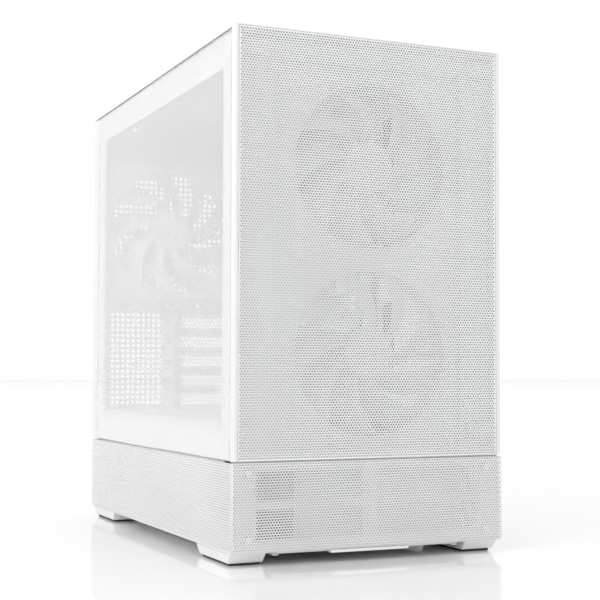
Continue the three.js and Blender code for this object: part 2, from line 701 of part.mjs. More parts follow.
// The cooler's fan is a small case fan turned to blow towards +X.
function towardsBoard(body) {
  return body.rotate([0, 0, -90]).translate([COOLER_FAN_X, CPU_Y, CPU_Z]);
}

const PSU_X = [-69.5, -69.5 + PSU[0]];
const PSU_Y = [WALL_Y - GAP - PSU[1], WALL_Y - GAP];
const PSU_Z = [FLOOR, FLOOR + PSU[2]];
const SWITCH_X = [48, 60];
const SWITCH_Z = [62, 80];

function powerSupply() {
  const box = block(PSU_X, PSU_Y, PSU_Z);
  const inlet = block([41, 67], [PSU_Y[1] - 14, PSU_Y[1] + 1], [24, 44]);
  const well = block(
    [SWITCH_X[0] - GAP, SWITCH_X[1] + GAP],
    [PSU_Y[1] - 7, PSU_Y[1] + 1],
    [SWITCH_Z[0] - GAP, SWITCH_Z[1] + GAP],
  );
  return cut(box, inlet, well);
}

// A rocker with a shallow vee face; it tips about a crosswise axis inside the supply.
function psuSwitch() {
  const middle = (SWITCH_Z[0] + SWITCH_Z[1]) / 2;
  const face = new THREE.Shape();
  face.moveTo(PSU_Y[1] - 5.4, SWITCH_Z[0] + 1.2);
  face.lineTo(PSU_Y[1] - 0.6, SWITCH_Z[0] + 0.6);
  face.lineTo(PSU_Y[1] - 2, middle);
  face.lineTo(PSU_Y[1] - 0.6, SWITCH_Z[1] - 0.6);
  face.lineTo(PSU_Y[1] - 5.4, SWITCH_Z[1] - 1.2);
  face.closePath();
  return sheet("x", [SWITCH_X[0] + GAP, SWITCH_X[1] - GAP], face);
}

const CAGE_X = [-58, 90];
const CAGE_Y = [-192, -82];
const CAGE_Z = [FLOOR, 90];

// Four walls round two drive bays, open at both ends, with a shelf between the bays.
function driveCage() {
  const tube = sheet("x", CAGE_X, rectangle(CAGE_Y, CAGE_Z), [
    rectangle([CAGE_Y[0] + SHEET, CAGE_Y[1] - SHEET], [CAGE_Z[0] + SHEET, CAGE_Z[1] - SHEET]),
  ]);
  const middle = (CAGE_Z[0] + CAGE_Z[1]) / 2;
  const ledges = [
    [CAGE_Y[0], CAGE_Y[0] + 9],
    [CAGE_Y[1] - 9, CAGE_Y[1]],
  ].map((y) => block(CAGE_X, y, [middle, middle + SHEET]));
  return joined(tube, ...ledges);
}

function hardDrive() {
  const middle = (CAGE_Y[0] + CAGE_Y[1]) / 2;
  const z = CAGE_Z[0] + SHEET + GAP;
  return block([-57, 90], [middle - 50.8, middle + 50.8], [z, z + 26.1]);
}

const SSD_Y = [-172, -102];
const SSD_Z = [200, 300];

function ssdBracket() {
  const x = TRAY_X + SHEET + GAP;
  return block([x, x + 1], [SSD_Y[0] - 4, SSD_Y[1] + 4], [SSD_Z[0] - 4, SSD_Z[1] + 4]);
}

function solidStateDrive() {
  const x = TRAY_X + SHEET + GAP + 1 + GAP;
  return block([x, x + 7], SSD_Y, SSD_Z);
}

// ---------------------------------------------------------------- building the tower
add("bottom_pan", bottomPan(), paint);
add("rear_wall", rearWall(), innerPaint);
add("motherboard_tray", motherboardTray(), innerPaint);
add("front_wall", frontWall(), innerPaint);
add("lower_front_frame", lowerFrontFrame(), innerPaint);
add("roof_panel", roofPanel(), innerPaint);
add("psu_shroud", psuShroud(), innerPaint);
add("slot_post", slotPost(), innerPaint);
for (let i = 0; i < SLOT_COUNT; i++) add("slot_cover_" + (i + 1), slotCover(i), innerPaint);

add("top_cover", topCover(), paint);
add("top_filter", topFilter(), meshPaint);
add("port_module", portModule(), whitePlastic);
add("power_button", button(BUTTON_X, BUTTON_RADIUS, 24), whitePlastic);
add("reset_button", button(RESET_X, RESET_RADIUS, 16), whitePlastic);
add("front_panel_frame", frontPanelFrame(), paint);
add("front_mesh", frontMesh(), meshPaint);
add("base_front_grille", baseFrontGrille(), meshPaint);
add("base_left_grille", baseSideGrille(-1), meshPaint);
add("base_right_grille", baseSideGrille(1), meshPaint);
add("glass_pane", glassPane(), glassMaterial);
add("glass_frame", glassFrame(), paint);
add("right_side_panel", rightSidePanel(), paint);

for (const [sideName, side] of [["left", -1], ["right", 1]]) {
  add(sideName + "_lower_thumbscrew", thumbscrew(side, SCREW_LEVELS[0]), steel);
  add(sideName + "_upper_thumbscrew", thumbscrew(side, SCREW_LEVELS[1]), steel);
  for (const [endName, end] of [["front", -1], ["rear", 1]]) {
    add(endName + "_" + sideName + "_foot", foot(side, end), whitePlastic);
    add(endName + "_" + sideName + "_foot_pad", footPad(side, end), darkRubber);
  }
}
add("psu_filter", psuFilter(), whitePlastic);

for (const [name, x, y, z] of [
  ["front_upper", FRONT_FAN_X, FRONT_FAN_Y, FRONT_FAN_LEVELS[0]],
  ["front_lower", FRONT_FAN_X, FRONT_FAN_Y, FRONT_FAN_LEVELS[1]],
  ["rear", REAR_FAN_X, REAR_FAN_Y, REAR_FAN_Z],
]) {
  add(name + "_fan_frame", caseFanFrame.translate([x, y, z]), whitePlastic);
  add(name + "_fan_rotor", caseRotor.translate([x, y + ROTOR_SETBACK, z]), whitePlastic);
}

add("motherboard", motherboard(), circuitBoard);
add("io_shield", ioShield(), steel);
add("memory_module_1", memoryModule(0), aluminium);
add("memory_module_2", memoryModule(2), aluminium);
add("cooler_heatsink", coolerHeatsink(), aluminium);
const coolerFrame = fanFrame(COOLER_FAN, COOLER_FAN_DEPTH, 43.5, 82.5, 17);
const coolerRotor = rotor(42, 18, COOLER_FAN_DEPTH - 5, 7).translate([0, ROTOR_SETBACK, 0]);
add("cooler_fan_frame", towardsBoard(coolerFrame), whitePlastic);
add("cooler_fan_rotor", towardsBoard(coolerRotor), whitePlastic);
add("power_supply", powerSupply(), psuPaint);
add("psu_switch", psuSwitch(), blackPlastic);
add("drive_cage", driveCage(), innerPaint);
add("hard_drive", hardDrive(), aluminium);
add("ssd_bracket", ssdBracket(), innerPaint);
add("solid_state_drive", solidStateDrive(), blackPlastic);

export default tower;
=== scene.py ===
"""Looks of the desktop computer tower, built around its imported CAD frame.

Lengths in this file are millimetres in the row frame until a mesh is made.
"""

import json
import math

import bmesh
import bpy
import numpy as np
from mathutils import Matrix, Vector


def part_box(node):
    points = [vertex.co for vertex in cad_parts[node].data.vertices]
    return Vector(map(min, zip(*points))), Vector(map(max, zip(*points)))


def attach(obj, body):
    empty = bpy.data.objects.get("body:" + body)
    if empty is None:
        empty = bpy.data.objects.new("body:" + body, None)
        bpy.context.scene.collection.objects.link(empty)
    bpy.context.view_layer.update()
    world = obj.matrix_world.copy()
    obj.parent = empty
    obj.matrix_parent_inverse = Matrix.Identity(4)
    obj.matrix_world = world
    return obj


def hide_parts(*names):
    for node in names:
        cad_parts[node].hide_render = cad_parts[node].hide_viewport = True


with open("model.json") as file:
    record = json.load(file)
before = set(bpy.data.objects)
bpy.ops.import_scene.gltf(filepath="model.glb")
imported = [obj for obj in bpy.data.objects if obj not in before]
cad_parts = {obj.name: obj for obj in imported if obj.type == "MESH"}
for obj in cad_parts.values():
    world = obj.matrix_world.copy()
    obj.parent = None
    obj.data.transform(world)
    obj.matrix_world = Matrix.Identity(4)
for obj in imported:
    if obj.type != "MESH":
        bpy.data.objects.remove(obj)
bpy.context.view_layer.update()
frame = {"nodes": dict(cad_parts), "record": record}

MM = 0.001
SHEET = 1.2  # steel sheet
ROW = math.sqrt(3) / 2  # row spacing of a staggered pattern, in pitches
SCENE = bpy.context.scene
BODIES = frame["record"]["behaviour"]["bodies"]
BODY_OF = {node: body for body, nodes in BODIES.items() for node in nodes}
PLANE = {"x": (1, 2, 0), "y": (0, 2, 1), "z": (0, 1, 2)}  # a plane's two axes, then its normal
FLIP = {"x": False, "y": True, "z": False}  # True where those axes turn clockwise about the normal


def span(node):
    """A CAD node's (low, high) ranges along X, Y and Z, in millimetres."""
    low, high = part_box(node)
    return [(low[i] / MM, high[i] / MM) for i in range(3)]


def middle(ends):
    return (ends[0] + ends[1]) / 2


def about(centre, half):
    """The range that reaches as far on both sides of its middle."""
    return centre - half, centre + half


def inset(ends, by):
    return ends[0] + by, ends[1] - by


def beside(centre, side, near, far):
    """A range from near to far on one side (-1 or 1) of a middle."""
    return sorted((centre + side * near, centre + side * far))


def corners(centre, half):
    return [(centre[0] + a * half, centre[1] + b * half) for a in (-1, 1) for b in (-1, 1)]


# --- materials
def set_inputs(node, **values):
    """Sets or links a node's inputs; a space in an input's name is written as an underscore."""
    for name, value in values.items():
        socket = node.inputs[name.replace("_", " ")]
        if isinstance(value, bpy.types.NodeSocket):
            node.id_data.links.new(value, socket)
        else:
            socket.default_value = value
    return node


def made_node(tree, kind, **values):
    return set_inputs(tree.nodes.new("ShaderNode" + kind), **values)


def nodes_of(name):
    made = bpy.data.materials.new(name)
    made.use_nodes = True
    tree = made.node_tree
    return made, tree, tree.nodes["Principled BSDF"]


def noise(tree, scale, detail=2.0, stretch=None):
    """A noise in the piece's own coordinates, which are metres in the row frame."""
    place = made_node(tree, "TexCoord").outputs["Object"]
    if stretch:
        place = made_node(tree, "Mapping", Vector=place, Scale=stretch).outputs["Vector"]
    return made_node(tree, "TexNoise", Vector=place, Scale=scale, Detail=detail).outputs["Fac"]


def ranged(tree, value, low, high, start=0.3, end=0.7):
    """A value's part from start to end, taken to the range from low to high."""
    ends = {"From_Min": start, "From_Max": end, "To_Min": low, "To_Max": high}
    return made_node(tree, "MapRange", Value=value, **ends).outputs["Result"]


def blended(tree, factor, first, second):
    """A colour between two, where each is a colour or a socket."""
    node = made_node(tree, "Mix", Factor=factor)
    node.data_type = "RGBA"
    for value, socket in ((first, node.inputs[6]), (second, node.inputs[7])):
        if isinstance(value, bpy.types.NodeSocket):
            tree.links.new(value, socket)
        else:
            socket.default_value = (*value, 1)
    return node.outputs[2]


def edge_mask(tree, radius):
    """1 on sharp or tightly rounded edges and 0 on flat faces."""
    bevel = made_node(tree, "Bevel", Radius=radius * MM)
    bevel.samples = 4
    flat = made_node(tree, "NewGeometry").outputs["Normal"]
    dot = made_node(tree, "VectorMath")
    dot.operation = "DOT_PRODUCT"
    tree.links.new(bevel.outputs["Normal"], dot.inputs[0])
    tree.links.new(flat, dot.inputs[1])
    return ranged(tree, dot.outputs["Value"], 1, 0, 0.90, 0.995)


def bumped(tree, shader, height, distance):
    bump = made_node(tree, "Bump", Strength=1.0, Distance=distance * MM, Height=height)
    set_inputs(shader, Normal=bump.outputs["Normal"])


def coating(name, colour, rough, grain, depth=0.02, shade=0.035, edge_highlight=0.0, coat=0.0):
    """A painted or moulded surface: fine grain, cloudy tone and roughness, and edges painted lighter as a
    painted highlight.
    """
    spread = 0.025  # of the roughness
    made, tree, shader = nodes_of(name)
    cloud = noise(tree, 14, 3)
    fine = noise(tree, grain, 3)
    darker = tuple(c * (1 - shade) for c in colour)
    tone = blended(tree, ranged(tree, cloud, 0, 1), darker, colour)
    grainy = tuple(c * (1 - shade * 1.5) for c in colour)
    tone = blended(tree, ranged(tree, fine, 0.35, 0, 0.25, 0.5), tone, grainy)
    # painted highlight: the edges are blended towards a lighter white
    if edge_highlight:
        tone = blended(tree, ranged(tree, edge_mask(tree, 0.5), 0, edge_highlight, 0, 1), tone, EDGE_HIGHLIGHT_WHITE)
    set_inputs(shader, Base_Color=tone, Roughness=ranged(tree, cloud, rough - spread, rough + spread),
               Metallic=0.0, Coat_Weight=coat, Coat_Roughness=0.25)
    bumped(tree, shader, fine, depth)
    return made


def brushed(name, colour, rough, stretch, depth=0.01):
    """Bare metal with fine lines along one axis."""
    made, tree, shader = nodes_of(name)
    lines = noise(tree, 60, 4, stretch)
    dull = tuple(c * 0.82 for c in colour)
    tone = blended(tree, ranged(tree, lines, 0, 1), dull, colour)
    gloss = ranged(tree, lines, rough - 0.08, rough + 0.1)
    set_inputs(shader, Base_Color=tone, Roughness=gloss, Metallic=1.0)
    bumped(tree, shader, lines, depth)
    return made


def pane_glass():
    """Clear glass with faint smears in its polish that lets lamps light what is behind it."""
    made, tree, shader = nodes_of("tempered_glass")
    set_inputs(shader, Base_Color=(0.995, 1.0, 1.0, 1), Transmission_Weight=0.75, Coat_Weight=1.0,
               IOR=1.5, Roughness=ranged(tree, noise(tree, 22, 3), 0.0, 0.006))
    clear = made_node(tree, "BsdfTransparent", Color=(0.98, 0.98, 0.98, 1))
    mix = made_node(tree, "MixShader", Fac=made_node(tree, "LightPath").outputs["Is Shadow Ray"])
    tree.links.new(shader.outputs["BSDF"], mix.inputs[1])
    tree.links.new(clear.outputs["BSDF"], mix.inputs[2])
    set_inputs(tree.nodes["Material Output"], Surface=mix.outputs["Shader"])
    return made


def board_laminate():
    """Pale solder mask over raised tracks, with tinned pads at their ends."""
    made, tree, shader = nodes_of("circuit_board")
    place = made_node(tree, "TexCoord").outputs["Object"]
    quarter = math.radians(90)
    turned = made_node(tree, "Mapping", Vector=place, Rotation=(0, quarter, quarter)).outputs["Vector"]
    tracks = made_node(tree, "TexBrick", Vector=turned, Scale=210, Mortar_Size=0.03, Brick_Width=2.4,
                       Row_Height=0.32)
    pads = made_node(tree, "TexVoronoi", Vector=place, Scale=240)
    on_track = ranged(tree, tracks.outputs["Fac"], 0, 1, 0, 1)
    tone = blended(tree, on_track, (0.62, 0.64, 0.66), (0.50, 0.53, 0.56))
    on_pad = ranged(tree, pads.outputs["Distance"], 1, 0, 0.10, 0.14)
    tone = blended(tree, on_pad, tone, (0.72, 0.70, 0.62))
    set_inputs(shader, Base_Color=tone, Roughness=ranged(tree, noise(tree, 60), 0.3, 0.42))
    bumped(tree, shader, tracks.outputs["Fac"], 0.03)
    return made


# The lighter white that edges are painted with, a painted highlight.
EDGE_HIGHLIGHT_WHITE = (0.93, 0.93, 0.93)
COATINGS = {  # colour, roughness, grain, then what is not as usual
    "painted_steel": ((0.83, 0.835, 0.84), 0.38, 1100, {"edge_highlight": 0.6}),
    # inner_steel is painted_steel's white made darker: painted shade for the chassis and the inside of the
    # case.
    "inner_steel": ((0.80, 0.805, 0.81), 0.48, 800, {"edge_highlight": 0.4}),
    "perforated_steel": ((0.88, 0.885, 0.89), 0.42, 1500, {"depth": 0.01}),
    "white_plastic": ((0.84, 0.845, 0.85), 0.45, 2200, {"depth": 0.015, "edge_highlight": 0.4}),
    # fan_plastic is white_plastic made darker: painted shade for the fans inside the case.
    "fan_plastic": ((0.80, 0.805, 0.81), 0.36, 1800, {"depth": 0.01, "coat": 0.15}),
    "rubber_pad": ((0.05, 0.052, 0.055), 0.85, 1500, {"depth": 0.05, "shade": 0.2}),
    "black_plastic": ((0.03, 0.031, 0.033), 0.42, 1600, {"shade": 0.15}),
    "supply_housing": ((0.80, 0.805, 0.81), 0.45, 900, {"edge_highlight": 0.4}),
    "frit_enamel": ((0.88, 0.885, 0.885), 0.3, 1600, {"depth": 0.005}),
}
MATERIALS = {
    **{name: coating(name, *values, **more) for name, (*values, more) in COATINGS.items()},
    "bright_steel": brushed("bright_steel", (0.72, 0.73, 0.74), 0.3, (1, 1, 12)),
    "bare_aluminium": brushed("bare_aluminium", (0.80, 0.81, 0.82), 0.34, (1, 10, 1)),
    "gold_contact": brushed("gold_contact", (0.83, 0.62, 0.28), 0.25, (1, 1, 6), 0.004),
    "tempered_glass": pane_glass(),
    "circuit_board": board_laminate(),
}


# --- mesh tools
def add_box(bm, x, y, z, rounding=0.0):
    """A box from three ranges, with its edges rounded."""
    ends = [bm.verts.new((x[i], y[j], z[k])) for k in (0, 1) for j in (0, 1) for i in (0, 1)]
    quads = ((0, 2, 3, 1), (4, 5, 7, 6), (0, 1, 5, 4), (2, 6, 7, 3), (0, 4, 6, 2), (1, 3, 7, 5))
    faces = [bm.faces.new([ends[i] for i in quad]) for quad in quads]
    if rounding:
        edges = list({edge for face in faces for edge in face.edges})
        bmesh.ops.bevel(bm, geom=edges, offset=rounding, segments=2, affect="EDGES", profile=0.5)


def in_plane(axis, u, v, w):
    """A point from its place (u, v) in the plane across an axis and its place w along that axis."""
    point = [0.0, 0.0, 0.0]
    for index, value in zip(PLANE[axis], (u, v, w)):
        point[index] = value
    return point


def circle(u, v, radius, sides=16, turn=0.0):
    angles = [turn + 2 * math.pi * i / sides for i in range(sides)]
    return [(u + radius * math.cos(angle), v + radius * math.sin(angle)) for angle in angles]


def rectangle(u, v, corner=0.0, steps=4):
    """A rectangle's points, with rounded corners."""
    if not corner:
        return [(u[0], v[0]), (u[1], v[0]), (u[1], v[1]), (u[0], v[1])]
    (left, right), (low, high) = inset(u, corner), inset(v, corner)
    points = []
    for quarter, (cu, cv) in enumerate(((right, low), (right, high), (left, high), (left, low))):
        for step in range(steps + 1):
            angle = (quarter - 1 + step / steps) * math.pi / 2
            points.append((cu + corner * math.cos(angle), cv + corner * math.sin(angle)))
    return points


def add_turned(bm, axis, centre, profile, sides=32):
    """A body of revolution along an axis; profile is (radius, place along the axis) from end to end."""
    rings = [
        [bm.verts.new(in_plane(axis, u, v, w)) for u, v in circle(*centre, radius, sides)]
        for radius, w in profile
    ]
    start = len(bm.faces)
    for ring, following in zip(rings, rings[1:]):
        for i in range(sides):
            j = (i + 1) % sides
            bm.faces.new((ring[i], ring[j], following[j], following[i]))
    bm.faces.new(rings[0][::-1])
    bm.faces.new(rings[-1])
    bm.faces.ensure_lookup_table()
    bmesh.ops.recalc_face_normals(bm, faces=bm.faces[start:])


def loop_edges(bm, loop):
    """New edges that join points of the plane into a closed loop."""
    verts = [bm.verts.new((*point, 0)) for point in loop]
    return [bm.edges.new(ends) for ends in zip(verts, verts[1:] + verts[:1])]


def fill_between(bm, edges):
    """Fills the plane between loops of edges with triangles of vertex indices that face up."""
    bmesh.ops.triangle_fill(bm, use_beauty=True, use_dissolve=False, edges=edges, normal=(0, 0, 1))
    bm.verts.index_update()
    triangles = []
    for face in bm.faces:
        ids = [vert.index for vert in face.verts]
        triangles.append(ids[::-1] if face.normal.z < 0 else ids)
    return np.array(triangles, int)


def filled(outline, holes):
    """Triangles that fill an outline round its holes: (points, triangles)."""
    bm = bmesh.new()
    triangles = fill_between(bm, [edge for loop in (outline, *holes) for edge in loop_edges(bm, loop)])
    points = np.array([vert.co[:2] for vert in bm.verts])
    bm.free()
    return points, triangles


def sides_of(triangles):
    return np.concatenate([triangles[:, [0, 1]], triangles[:, [1, 2]], triangles[:, [2, 0]]])


def thickened(axis, places, points, triangles):
    """A closed sheet from flat triangles, between two places along an axis: (vertices, triangles)."""
    count = len(points)
    order = PLANE[axis]
    verts = np.zeros((2 * count, 3))
    verts[:, order[0]] = np.tile(points[:, 0], 2)
    verts[:, order[1]] = np.tile(points[:, 1], 2)
    verts[:count, order[2]] = places[0]
    verts[count:, order[2]] = places[1]
    pairs = sides_of(triangles)
    keys = np.sort(pairs, 1)
    keys = keys[:, 0].astype(np.int64) * count + keys[:, 1]
    _, inverse, uses = np.unique(keys, return_inverse=True, return_counts=True)
    start, end = pairs[uses[inverse] == 1].T
    faces = np.concatenate([
        triangles[:, ::-1],
        triangles + count,
        np.stack([start, end, end + count], -1),
        np.stack([start, end + count, start + count], -1),
    ])
    return verts, faces[:, ::-1] if FLIP[axis] else faces


def add_sheet(bm, axis, places, outline, holes=()):
    verts, faces = thickened(axis, places, *filled(outline, holes))
    made = [bm.verts.new(vert) for vert in verts]
    for face in faces:
        bm.faces.new([made[i] for i in face])


def mesh_from(name, verts, faces):
    mesh = bpy.data.meshes.new(name)
    mesh.vertices.add(len(verts))
    mesh.vertices.foreach_set("co", (verts * MM).astype(np.float32).ravel())
    mesh.loops.add(len(faces) * 3)
    mesh.loops.foreach_set("vertex_index", faces.astype(np.int32).ravel())
    mesh.polygons.add(len(faces))
    mesh.polygons.foreach_set("loop_start", np.arange(0, len(faces) * 3, 3, dtype=np.int32))
    mesh.update(calc_edges=True)
    return mesh


def in_scene(name, data):
    """An object made from its data and put in the scene."""
    made = bpy.data.objects.new(name, data)
    SCENE.collection.objects.link(made)
    return made


def placed(name, mesh, material, body, replaced=None, rounding=0.0, smooth=32):
    """A finished piece: material, smooth shading up to an angle, rounded edges, and its body."""
    piece = in_scene(name, mesh)
    mesh.materials.clear()
    mesh.materials.append(MATERIALS[material])
    if smooth:
        mesh.shade_smooth()
        mesh.set_sharp_from_angle(angle=math.radians(smooth))
    if rounding:
        bevel = piece.modifiers.new("rounded_edges", "BEVEL")
        bevel.width = rounding * MM
        bevel.segments = 2
        bevel.limit_method = "ANGLE"
        bevel.angle_limit = math.radians(40)
    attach(piece, body)
    if replaced:
        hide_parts(replaced)
    return piece


def built(name, build, material, replaced=None, rounding=0.0, smooth=32, body=None):
    """A piece from a function that fills a bmesh in millimetres, on its CAD node's body or the case."""
    bm = bmesh.new()
    build(bm)
    bmesh.ops.scale(bm, vec=(MM, MM, MM), verts=bm.verts)
    mesh = bpy.data.meshes.new(name)
    bm.to_mesh(mesh)
    bm.free()
    return placed(name, mesh, material, body or BODY_OF.get(replaced, "case"), replaced, rounding, smooth)


def refined(node, material, rounding=0.3):
    """A CAD node's own shape with its edges rounded."""
    bm = bmesh.new()
    bm.from_mesh(frame["nodes"][node].data)
    bmesh.ops.remove_doubles(bm, verts=bm.verts, dist=1e-6)
    bmesh.ops.dissolve_limit(bm, angle_limit=math.radians(1), verts=bm.verts, edges=bm.edges)
    mesh = bpy.data.meshes.new(node + "_finished")
    bm.to_mesh(mesh)
    bm.free()
    return placed(node + "_finished", mesh, material, BODY_OF[node], node, rounding)


# --- perforated sheets
class Pattern:
    """A staggered field of six-sided holes that fills a rectangle up to a margin."""

    def __init__(self, u, v, pitch, radius, margin):
        self.u, self.v, self.pitch, self.radius = u, v, pitch, radius
        self.step = pitch * ROW
        reach = margin + radius
        self.columns = int((u[1] - u[0] - 2 * reach) / pitch)
        rows = int((v[1] - v[0] - 2 * reach) / self.step)
        self.rows = rows - rows % 2
        self.start_u = (u[0] + u[1] - self.columns * pitch) / 2
        self.start_v = (v[0] + v[1] - self.rows * self.step) / 2

    def strip(self, first, last):
        """The rows from first to last, up to half way to the rows beyond: (points, triangles)."""
        low = self.v[0] if first == 0 else self.start_v + (first - 0.5) * self.step
        high = self.v[1] if last == self.rows else self.start_v + (last + 0.5) * self.step
        grid = np.arange(first, last + 1), np.arange(self.columns + 1)
        row, column = np.meshgrid(*grid, indexing="ij")
        odd = row % 2
        there = (odd == 0) | (column < self.columns)
        index = -np.ones(there.shape, int)
        index[there] = np.arange(there.sum())
        centres = np.stack([(self.start_u + (column + odd / 2) * self.pitch)[there],
                            (self.start_v + row * self.step)[there]], -1)
        angles = np.radians(30 + 60 * np.arange(6))
        ring = self.radius * np.stack([np.cos(angles), np.sin(angles)], -1)
        points = (centres[:, None, :] + ring[None]).reshape(-1, 2)
        triangles = between_holes(index, row - first, column, odd, there)
        border = free_edges(triangles, len(centres), len(points))
        return with_rim(points, triangles, border, rectangle(self.u, (low, high)))


def between_holes(index, row, column, odd, there):
    """Triangles that join neighbouring six-sided holes; index numbers the holes of a grid."""
    def neighbour(up, step_even, step_odd):
        found = -np.ones_like(index)
        at_row = row + up
        at_column = column + np.where(odd == 1, step_odd, step_even)
        good = (at_row < len(index)) & (at_column >= 0) & (at_column < index.shape[1]) & there
        found[good] = index[at_row[good], at_column[good]]
        return found

    east, north_east, north_west = neighbour(0, 1, 1), neighbour(1, 0, 1), neighbour(1, -1, 0)
    triangles = []
    for other, a, b, c, d in ((east, 5, 0, 3, 2), (north_east, 0, 1, 4, 3), (north_west, 1, 2, 5, 4)):
        both = (index >= 0) & (other >= 0)
        mine, theirs = index[both] * 6, other[both] * 6
        quads = np.stack([mine + a, theirs + c, theirs + d, mine + b], -1)
        triangles += [quads[:, [0, 1, 2]], quads[:, [0, 2, 3]]]
    for one, two, a, b, c in ((east, north_east, 0, 2, 4), (north_east, north_west, 1, 3, 5)):
        three = (index >= 0) & (one >= 0) & (two >= 0)
        triangles.append(np.stack([index[three] * 6 + a, one[three] * 6 + b, two[three] * 6 + c], -1))
    return np.concatenate(triangles)


def free_edges(triangles, holes, count):
    """Edges between the joined field and the plain rim round it, as pairs of point numbers."""
    pairs = np.sort(sides_of(triangles), 1)
    keys, uses = np.unique(pairs[:, 0].astype(np.int64) * count + pairs[:, 1], return_counts=True)
    first = np.arange(holes) * 6
    sides = np.sort(np.concatenate([np.stack([first + i, first + (i + 1) % 6], -1) for i in range(6)]), 1)
    border = np.setxor1d(keys[uses == 1], sides[:, 0].astype(np.int64) * count + sides[:, 1])
    return np.stack([border // count, border % count], -1)


def with_rim(points, triangles, border, outline):
    """The field with its plain rim filled in up to an outline."""
    bm = bmesh.new()
    number = [int(i) for i in np.unique(border)]
    made = {i: bm.verts.new((*points[i], 0)) for i in number}
    edges = [bm.edges.new((made[int(a)], made[int(b)])) for a, b in border]
    around = fill_between(bm, edges + loop_edges(bm, outline))
    bm.free()
    number += range(len(points), len(points) + len(outline))
    return np.concatenate([points, np.array(outline)]), np.concatenate([triangles, np.array(number)[around]])


def planar_map(mesh, axis):
    """Lays the sheet's texture map straight on its plane, both faces and the hole walls side by side."""
    where = np.zeros((len(mesh.vertices), 3), np.float32)
    mesh.vertices.foreach_get("co", where.ravel())
    loops = np.zeros(len(mesh.loops), np.int32)
    mesh.loops.foreach_get("vertex_index", loops)
    normals = np.zeros((len(mesh.polygons), 3), np.float32)
    mesh.polygons.foreach_get("normal", normals.ravel())
    across, up, out = PLANE[axis]
    facing = np.repeat(normals[:, out], 3)
    flat = where[:, [across, up]]
    low, high = flat.min(0), flat.max(0)
    places = (flat[loops] - low) / (high - low)
    short_way = int(np.argmin(high - low))
    band = np.where(facing > 0.5, 0, np.where(facing < -0.5, 1, 2))
    places[:, short_way] = (places[:, short_way] + band) / 3
    layer = mesh.uv_layers.new(name="OFBake")
    layer.data.foreach_set("uv", places.astype(np.float32).ravel())


def perforated_panel(name, axis, places, u, v, body, replaced=None, strips=1,
                     pitch=2.3, radius=0.83, margin=0.3, material="perforated_steel"):
    """Perforated sheet in strips that meet between two rows of holes, so that each mesh stays light."""
    pattern = Pattern(u, v, pitch, radius, margin)
    share = (pattern.rows // strips) // 2 * 2
    for i in range(strips):
        first = i * share
        last = pattern.rows if i == strips - 1 else first + share - 1
        label = name + ("_%d" % (i + 1) if strips > 1 else "")
        mesh = mesh_from(label, *thickened(axis, places, *pattern.strip(first, last)))
        planar_map(mesh, axis)
        placed(label, mesh, material, body, replaced if i == 0 else None, smooth=0)


# --- outer covers
GRILLE = 0.5  # thickness of the perforated steel behind its outer face
BESIDE_WALL = -110.7  # inner edge of the base grilles' rear folds


def outer_covers():
    x, y, z = span("front_mesh")
    face = (y[0], y[0] + GRILLE)
    perforated_panel("front_mesh_sheet", "y", face, x, z, "front_panel", "front_mesh", 4)
    refined("front_panel_frame", "painted_steel", 0.35)

    x, y, z = span("base_front_grille")
    face = (y[0], y[0] + GRILLE)
    perforated_panel("base_front_sheet", "y", face, x, z, "base_front", "base_front_grille")

    def pins(bm):
        for side in (-1, 1):
            for level in (20, 70):
                profile = ((2.4, face[1]), (2.4, y[1] - 2), (1.4, y[1]))
                add_turned(bm, "y", (side * 103, level), profile, 20)

    built("base_front_pins", pins, "white_plastic", body="base_front")
    folds = []
    for side in ("left", "right"):
        node = "base_%s_grille" % side
        x, y, z = span(node)
        face = (x[0], x[0] + GRILLE) if side == "left" else (x[1] - GRILLE, x[1])
        perforated_panel(node + "_sheet", "x", face, y, z, "case", node, 2)
        fold = (x[0] + 0.1, BESIDE_WALL) if side == "left" else (-BESIDE_WALL, x[1] - 0.1)
        folds.append((fold, (y[1] - SHEET, y[1] - 0.05), inset(z, 0.05)))

    def folded(bm):
        for ranges in folds:
            add_box(bm, *ranges, 0.2)

    built("base_grille_folds", folded, "painted_steel")

    for node, rounding in (("top_cover", 0.35), ("right_side_panel", 0.3), ("glass_frame", 0.3),
                           ("bottom_pan", 0.25)):
        refined(node, "painted_steel", rounding)


def roof_filter():
    x, y, z = span("top_filter")
    border = 6

    def rim(bm):
        add_sheet(bm, "z", z, rectangle(x, y, 3), [inside(x, y, border)])

    built("roof_filter_rim", rim, "white_plastic", "top_filter", 0.2)
    inner = inset(x, border - 0.5), inset(y, border - 0.5)
    level = (z[0] + 0.15, z[0] + 0.65)
    perforated_panel("roof_filter_mesh", "z", level, *inner, "roof_filter", None, 1, 3.0, 1.1, 0.8)


def inside(u, v, margin, corner=0.0):
    """A rectangle's points, set in from another by a margin."""
    return rectangle(inset(u, margin), inset(v, margin), corner)


def glass_side():
    def pane(bm):
        add_box(bm, *span("glass_pane"), rounding=0.6)

    built("glass_pane_polished", pane, "tempered_glass", "glass_pane", smooth=20)
    x, y, z = span("glass_pane")
    side, below, above = 21.5, 22, 26  # widths of the printed border
    window = rectangle(inset(y, side), (z[0] + below, z[1] - above), 2.5)

    def border(bm):
        add_sheet(bm, "x", (x[1] + 0.05, x[1] + 0.2), inside(y, z, 0.4), [window])

    built("glass_printed_border", border, "frit_enamel", body="glass_panel")


# --- buttons, ports and screws
USB_X = (-16, 8)
USB_C_X = 29
JACK_X = -38


def key_top(node):
    x, y, z = span(node)
    radius = (x[1] - x[0]) / 2
    centre = (middle(x), middle(y))
    dish = ((radius, z[0]), (radius, z[1] - 0.5), (radius - 0.5, z[1] - 0.05), (radius - 1, z[1]),
            (radius * 0.7, z[1] - 0.15), (radius * 0.3, z[1] - 0.35), (0.2, z[1] - 0.4))

    def turn(bm):
        add_turned(bm, "z", centre, dish, 48)

    built(node + "_cap", turn, "white_plastic", node)


